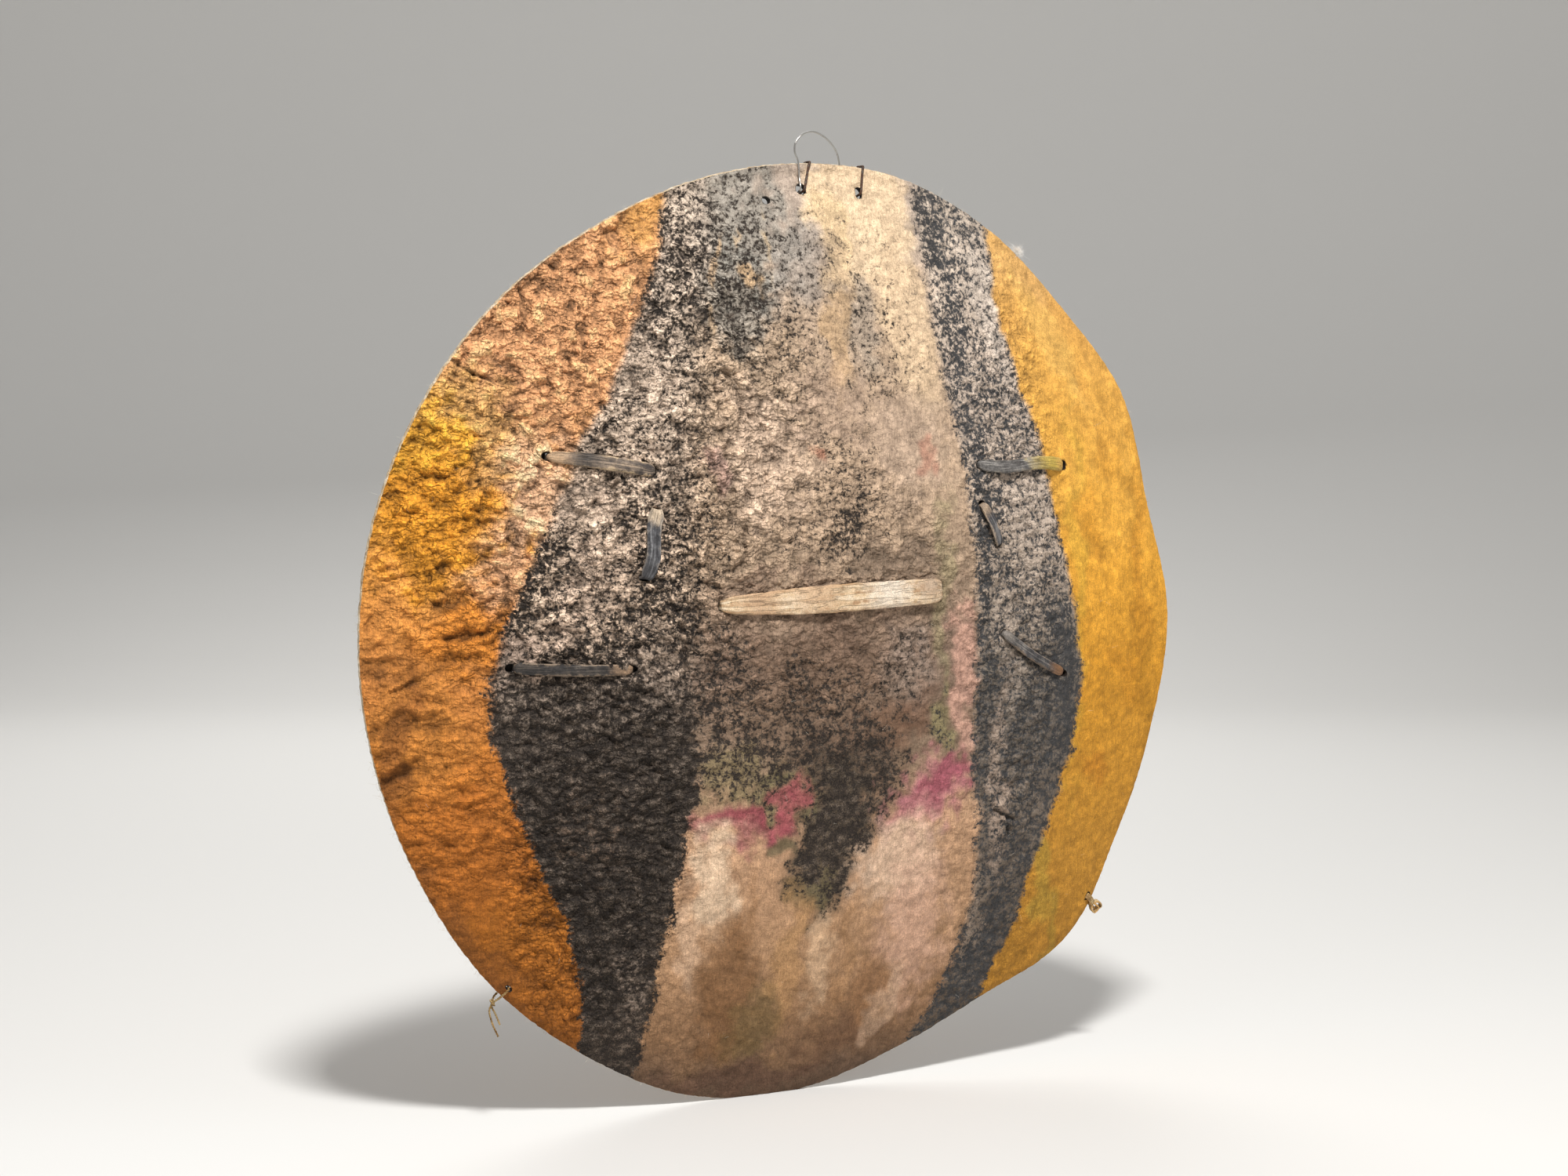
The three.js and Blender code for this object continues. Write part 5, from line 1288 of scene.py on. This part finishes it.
lap = GRIP_THICKNESS + SEAT_GAP
lap_start, lap_ease = math.radians(62), math.radians(34)
outer_bow, inner_bow, bow_spans = [], [], []
for share in np.linspace(0, 1, 37)[1:]:
    angle = share * (math.pi - lap_start)
    outer_bow.append(grip_bow(angle, lap * step_between(0, lap_ease, angle)))
    inner_bow.append(grip_bow(math.pi - angle, 0))
    opened = step_between(0, 0.5, math.sin(angle))
    bow_spans.append(GRIP_WIDTH * (0.62 * (1 - opened) + opened))
run, run_spans = face_run(grip_seat, GRIP_THICKNESS, GRIP_WIDTH, GRIP_WIDTHS, 1.2, (0, 0))
grip_path = [*outer_bow[::-1], grip_seat.between(1, HIDE_THICKNESS / 2), *run,
             grip_seat.between(0, HIDE_THICKNESS / 2), *inner_bow]
grip_spans = [*bow_spans[::-1], GRIP_WIDTH * 0.6, *run_spans, GRIP_WIDTH * 0.42, *bow_spans]
vertices, faces, uvs = hide_strip(grip_path, np.tile(grip_seat.across, (len(grip_path), 1)), grip_spans,
                                  GRIP_THICKNESS, 301, spacing=1.0, rounding=3, lumps=0.28, corners=30)
grip_piece = mesh_object("grip_band_dressed", vertices, faces, [GRIP_HIDE], uvs=uvs)
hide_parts("grip_band")

# The sleeve round the lapped ends: an open tube with a thick wall, sewn along its outer side
WRAP_WALL = 1.6
WRAP_CORNERS = 40
WRAP_SPACING = 1.2
wrap_points = [grip_bow(angle, lap / 2) for angle in np.linspace(math.radians(50), math.radians(130), 90)]
wrap_sides = np.tile(grip_seat.across, (len(wrap_points), 1))
wrap_run = np.arange(len(wrap_points)) * WRAP_SPACING
hole_width, hole_depth = GRIP_WIDTH + 2 * SEAT_GAP, GRIP_THICKNESS + lap + 2 * SEAT_GAP
ring_across, ring_out = (squared(turn(turn_of(WRAP_CORNERS)), 0.35) for turn in (np.cos, np.sin))


def sleeve_section(extra, lumps):
    bump = lumps * grain(wrap_run[:, None], ring_across * 8 + ring_out * 5, 5, 71, 3)
    half_width, half_depth = hole_width / 2 + extra + bump, hole_depth / 2 + extra + bump
    return np.stack([ring_across * half_width, ring_out * half_depth], axis=-1)


outside, tube_faces = swept(wrap_points, wrap_sides, sleeve_section(WRAP_WALL, 0.22))
inside, _ = swept(wrap_points, wrap_sides, sleeve_section(0.0, 0.0))
# Without its two end caps, and again inside out for the inner wall
tube = tube_faces[:-2]
sleeve_faces = tube + [[corner + len(outside) for corner in face[::-1]] for face in tube]
first_ring = np.arange(WRAP_CORNERS)
last_ring = first_ring + len(outside) - WRAP_CORNERS
sleeve_faces += between_loops(first_ring + len(outside), first_ring)
sleeve_faces += between_loops(last_ring, last_ring + len(outside))
sleeve_uvs = strip_uvs(wrap_run, 0.5 + 0.25 * ring_across)
sleeve = mesh_object("grip_wrap_dressed", np.concatenate([outside, inside]), sleeve_faces, [WRAP_LEATHER],
                     uvs=np.concatenate([sleeve_uvs, sleeve_uvs]))
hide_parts("grip_wrap")
# How each stitch of the seam runs: across it, out of the leather and along it, in mm
SEAM_STITCHES, SEAM_THREAD_RADIUS = 26, 0.42
SEAM_STITCH = ((-2.4, -0.7, -0.9), (-1.8, 0.35, -0.7), (0, 0.6, 0), (1.8, 0.35, 0.7), (2.4, -0.7, 0.9))
stitches = []
for number in range(SEAM_STITCHES):
    angle = math.radians(53) + number / (SEAM_STITCHES - 1) * math.radians(74)
    base = grip_bow(angle, lap / 2 + hole_depth / 2 + WRAP_WALL)
    outer = unit(base - grip_bow(angle, lap / 2))
    tangent = np.cross(outer, grip_seat.across)
    points = [base + grip_seat.across * across + outer * out + tangent * slant
              for across, out, slant in SEAM_STITCH]
    stitches.append(wire(points, SEAM_THREAD_RADIUS, sides=6, spacing=0.5, rounding=1, seed=number))
stitch_vertices, stitch_faces, stitch_uvs = combine(stitches)
seam = mesh_object("grip_wrap_stitches", stitch_vertices, stitch_faces, [SINEW], uvs=stitch_uvs)


# Wires at the top edge

EYE_RADIUS, LOOP_RADIUS = 0.75, 0.5


def eye_ring(hole, shift, lean, extra):
    clear = SEAT_GAP + EYE_RADIUS
    top = hole[0] + shift + lean
    rim = rim_rise(top)
    low = (hole[0] + shift, hole[1] - clear)
    high = (top - lean * 0.2, rim - clear)
    behind = -HIDE_THICKNESS - clear - extra
    front_edge = float(face_depth(top, rim - clear)) - clear
    back_edge = back_depth(top, rim - clear) + clear + extra
    return [
        hide_point(*low, behind) + np.array([0, 0, 2.5]),
        hide_point(*low, behind),
        hide_point(*low, clear),
        hide_point(*high, clear),
        np.array([top, front_edge, rim + clear]),
        np.array([top, back_edge, rim + clear]),
        hide_point(*high, behind),
        hide_point(low[0], low[1] + BEND + 1.2 + 1.5, behind),
    ]


for name, hole, shift, lean, extra in (
    ("left_wire_eye", LEFT_HOLE, 1.3, 6, 0),
    ("right_wire_eye", RIGHT_HOLE, 0, 4, 2 * LOOP_RADIUS + SEAT_GAP),
):
    strand = wire(round_corners(eye_ring(hole, shift, lean, extra), BEND, 8), EYE_RADIUS, sides=14,
                  spacing=0.35, rounding=2, seed=5, waver=0.03)
    piece = mesh_object(name + "_dressed", *strand[:2], [DULL_WIRE], uvs=strand[2])
    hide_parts(name)

# The loop's arc from its left foot to its right one, as shares of its width and height
LOOP_ARC = (
    (-0.01, 0.12), (-0.07, 0.35), (-0.06, 0.62), (0.06, 0.86), (0.24, 0.99), (0.42, 0.99),
    (0.62, 0.87), (0.8, 0.66), (0.93, 0.4), (0.985, 0.12),
)
LOOP_WIDTH, LOOP_HEIGHT = 33, 19.5


def smooth_route(points, count):
    """A smooth curve through all the points."""
    points = np.asarray(points, float)
    gaps = np.sqrt(np.linalg.norm(np.diff(points, axis=0), axis=1))
    knots = np.concatenate([[0], np.cumsum(gaps)])
    padded = np.concatenate([[2 * points[0] - points[1]], points, [2 * points[-1] - points[-2]]])
    stops = np.concatenate([[-gaps[0]], knots, [knots[-1] + gaps[-1]]])
    route = []
    for place in np.linspace(0, knots[-1], count):
        index = min(int(np.searchsorted(knots, place, side="right")), len(points) - 1)
        t = stops[index - 1:index + 3]
        # Each round blends neighbours, by how near the place is to the stops on either side
        blended = padded[index - 1:index + 3]
        for starts, ends in (((0, 1, 2), (1, 2, 3)), ((0, 1), (2, 3)), ((1,), (2,))):
            blended = [(t[end] - place) / (t[end] - t[start]) * here
                       + (place - t[start]) / (t[end] - t[start]) * after
                       for start, end, here, after in zip(starts, ends, blended, blended[1:])]
        route.append(blended[0])
    return np.array(route)


loop_clear = SEAT_GAP + LOOP_RADIUS
loop_lift = loop_clear + 0.4
left_foot = LEFT_HOLE[0] - 1
right_foot = left_foot + LOOP_WIDTH
loop_rim = rim_rise(left_foot)
axis_up = rim_rise(RIGHT_HOLE[0]) - 1.7
loop_end = RIGHT_HOLE[0] + 4 + 4
axis_depth = loop_clear + max(back_depth(place, axis_up - LOOP_RADIUS)
                              for place in (right_foot, RIGHT_HOLE[0], loop_end))
front = float(face_depth(left_foot, loop_rim - loop_clear)) - loop_clear
tail = (LEFT_HOLE[0] - 1.4, LEFT_HOLE[1] - 1.2)
loop_points = [
    hide_point(*tail, -HIDE_THICKNESS * 0.8),
    hide_point(*tail, -HIDE_THICKNESS * 0.3),
    hide_point(tail[0], tail[1] + LOOP_RADIUS, loop_lift),
    hide_point(left_foot, (tail[1] + loop_rim) / 2, loop_lift),
    hide_point(left_foot, loop_rim - loop_clear, loop_lift),
    *([left_foot + LOOP_WIDTH * across, front + (axis_depth - front) * min(1, max(0, across)),
       loop_rim + LOOP_HEIGHT * rise] for across, rise in LOOP_ARC),
    [right_foot, axis_depth, axis_up + 2 * loop_clear],
    [right_foot + loop_clear, axis_depth, axis_up],
    [RIGHT_HOLE[0] - loop_clear, axis_depth, axis_up],
    [loop_end - loop_clear, axis_depth, axis_up],
    [loop_end, axis_depth + LOOP_RADIUS, axis_up],
    [loop_end + LOOP_RADIUS, axis_depth + 3.2, axis_up],
]
strand = wire(smooth_route(loop_points, 220), LOOP_RADIUS, sides=12, spacing=0.35, rounding=0, seed=9,
              waver=0.02)
loop = mesh_object("hanging_wire_loop_dressed", *strand[:2], [BRIGHT_WIRE], body="hanging_loop",
                   uvs=strand[2])
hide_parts("hanging_wire_loop")


# Ties on the rim

def rim_place(angle):
    """Outwards and along the rim at an angle, and the middle of the hide's edge there."""
    outwards = np.array([math.cos(angle), 0, math.sin(angle)])
    right, _, up = outwards * float(outline_radius(angle))
    depth = (float(face_depth(right, up)) + back_depth(right, up)) / 2
    return outwards, np.array([-outwards[2], 0, outwards[0]]), np.array([right, depth, up])


TURNS_PER_MM = 0.3


def twisted(points, radius, seed):
    """Two strands laid round each other along a path."""
    route = smooth_route(points, 90)
    sides = free_sides(route)
    other = np.cross(unit(np.gradient(route, axis=0)), sides)
    angle = run_lengths(route)[:, None] * TURNS_PER_MM * 2 * math.pi
    return [wire(route + (sides * np.cos(angle + half) + other * np.sin(angle + half)) * radius * 0.5,
                 radius * 0.58, sides=8, spacing=0.4, rounding=0, seed=seed, waver=0.15)
            for half in (0, math.pi)]


outwards, along, middle = rim_place(LOWER_LEFT_TIE)
hole = tie_hole(LOWER_LEFT_TIE)
near, far = hide_point(*hole, 0.9), hide_point(*hole, -HIDE_THICKNESS - 0.9)
half = np.array([0, HIDE_THICKNESS / 2 + 1.4, 0])
knot = middle + outwards * 6


def from_knot(*steps):
    """Points given by how far outwards, along the rim, down and back they lie from the knot, in mm."""
    directions = np.array([outwards, along, (0, 0, -1), (0, 1, 0)])
    return [knot + np.array(step) @ directions for step in steps]


tie_parts = [
    *twisted([knot, middle + outwards * 1.6 - half, near, (near + far) / 2, far,
              middle + outwards * 1.6 + half, knot], 0.7, 81),
    *twisted(from_knot((0.5, 0, 0, 0), (0, 1.6, 0.8, 0), (-1.2, 0, 0, 1.4), (0, -1.5, -0.4, 0),
                       (0.8, 0, 0, -1.5), (0, 1.2, 0, 0), (-0.6, 0, 1, 0)), 0.62, 83),
    *twisted(from_knot((0, 0, 0, 0), (0, -2.6, 6, 0), (0, -0.4, 12, 0), (0, 5, 17, 0)), 0.6, 85),
    *twisted(from_knot((0, 0, 0, 0), (0, -1, 2, 0), (0, 2.5, 5, 0), (0, 6.6, 9, 0)), 0.6, 87),
]
tie_vertices, tie_faces, tie_uvs = combine(tie_parts)
tie = mesh_object("lower_left_sinew_tie_dressed", tie_vertices, tie_faces, [SINEW], uvs=tie_uvs)
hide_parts("lower_left_sinew_tie")

# A thin strip of scraped hide, folded while wet: pale gold, dry and stiff
KNOT_HIDE = strip_material("folded pale hide", "#D2AE74", "#E8D0A2", "#8E6A3C", "#C69A5C", 0.65)
outwards, along, middle = rim_place(LOWER_RIGHT_TIE)
hole = tie_hole(LOWER_RIGHT_TIE)
near, far = hide_point(*hole, 1.0), hide_point(*hole, -HIDE_THICKNESS - 1.0)
back = np.array([0, 1.0, 0])
knot = middle
knot_paths = (
    [middle + outwards * 5, middle + outwards * 1.2 - back * 3.4, near, (near + far) / 2, far,
     middle + outwards * 1.2 + back * 3.4, middle + outwards * 5],
    from_knot((3, 0, 0, 0), (6, 3.2, 0, -1.5), (10.5, 2.4, 0, 0), (9, -0.8, 0, 1.5), (3.6, -0.6, 0, 0)),
    from_knot((3, 0, 0, 0), (5, -3.6, 0, -1.2), (8.8, -3.4, 0, 0), (8.2, 0.2, 0, -1.6), (3.6, 0.8, 0, 0)),
)
KNOT_WIDTH, KNOT_THICKNESS = 4.2, 1.2
knot_parts = []
for number, (path, side) in enumerate(zip(knot_paths, (along + 0.25 * back, *[back + 0.3 * along] * 2))):
    route = smooth_route(path, 40)
    knot_parts.append(hide_strip(route, np.tile(side, (len(route), 1)), [KNOT_WIDTH] * len(route),
                                 KNOT_THICKNESS, 91 + number, spacing=0.5, rounding=1, nicks=0.12,
                                 corners=14))
knot_vertices, knot_faces, knot_uvs = combine(knot_parts)
hide_knot = mesh_object("lower_right_hide_knot_dressed", knot_vertices, knot_faces, [KNOT_HIDE],
                        uvs=knot_uvs)
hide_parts("lower_right_hide_knot")


# Down and stray hairs

def hair(root, direction, length, bend, radius, rng):
    """One fine hair that tapers and bends."""
    direction = unit(direction)
    sway = rng.normal(0, 1, 3)
    sway -= direction * np.dot(sway, direction)
    run = np.linspace(0, 1, 5)[:, None]
    points = root + direction * length * run + sway * bend * length * run ** 2
    section = round_section(radius * np.linspace(1, 0.35, 5)[:, None], 3)
    vertices, faces = swept(points, free_sides(points), section)
    return vertices, faces, np.zeros((len(vertices), 2))


def hair_material(name, root_shade, tip_shade):
    """Fine hair: pale and slightly glossy."""
    material, tree = new_material(name)
    place = put(tree, "TexCoord", out="Object")
    place = put(tree, "VectorMath", place, (1 / MM,) * 3, operation="MULTIPLY")
    change = put(tree, "TexNoise", place, named={"Scale": 1 / 6, "Detail": 2}, out="Fac")
    shade = put(tree, "ValToRGB", change, stops=[(0.4, root_shade), (0.6, tip_shade)])
    surface = put(tree, "BsdfPrincipled", named={
        "Base Color": shade, "Roughness": 0.6, "Specular IOR Level": 0.3})
    put(tree, "OutputMaterial", surface)
    return material


# Hairs and hide fibres that the scraper left: fine pale threads
HAIR = hair_material("stray hide hair", "#B8A68C", "#E9E1D2")
# Soft white down: a small bright puff
DOWN = hair_material("white down", "#E2D8CC", "#FBF8F2")
RIM_HAIRS, FACE_HAIRS, DOWN_HAIRS = 900, 420, 420
rng = np.random.default_rng(12)
hairs = []
for _ in range(RIM_HAIRS):
    angle = rng.uniform(0, 2 * math.pi)
    # None where the shield stands on the floor
    if math.radians(262) < angle < math.radians(274):
        continue
    outwards, along, middle = rim_place(angle)
    root = middle + np.array([0, rng.uniform(-2.4, 2.4), 0]) + outwards * 0.2
    lean = outwards + along * rng.normal(0, 0.9) + np.array([0, rng.normal(0, 0.7), 0])
    length = rng.uniform(0.8, 2.6) if rng.random() < 0.93 else rng.uniform(3, 6)
    hairs.append(hair(root, lean, length, rng.uniform(0.1, 0.6), 0.07, rng))
for _ in range(FACE_HAIRS):
    angle, radius = rng.uniform(0, 2 * math.pi), 268 * math.sqrt(rng.uniform(0, 1))
    spot = (radius * math.cos(angle), radius * math.sin(angle))
    slide = rng.normal(0, 1, 3)
    root = hide_point(*spot, -0.8 + float(relief(*spot)[0]))
    hairs.append(hair(root, face_normal(*spot) * 0.7 + slide, rng.uniform(2.0, 5.0), rng.uniform(0.1, 0.5),
                      0.06, rng))
hair_vertices, hair_faces, _ = combine(hairs)
# Hairs under the rim lie along the floor
hair_vertices[:, 2] = np.maximum(hair_vertices[:, 2], 0.1 - FLAT_HEIGHT)
fuzz = mesh_object("stray_hairs", hair_vertices, hair_faces, [HAIR])

outwards, along, middle = rim_place(math.radians(54.5))
centre = middle + outwards * 2.0
tufts = []
for _ in range(DOWN_HAIRS):
    direction = rng.normal(0, 1, 3) * np.array([1, 0.8, 1]) + outwards * 0.5
    root = centre + rng.normal(0, 0.6, 3)
    tufts.append(hair(root, direction, rng.uniform(1.6, 3.6), rng.uniform(0.2, 1.2), 0.11, rng))
tuft_vertices, tuft_faces, _ = combine(tufts)
tuft = mesh_object("upper_right_down_tuft_dressed", tuft_vertices, tuft_faces, [DOWN])
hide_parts("upper_right_down_tuft")


def plain(value):
    return [plain(item) for item in value] if hasattr(value, "__len__") else float(value)


{"cad": plain(cad_box), "looks": plain(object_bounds())}
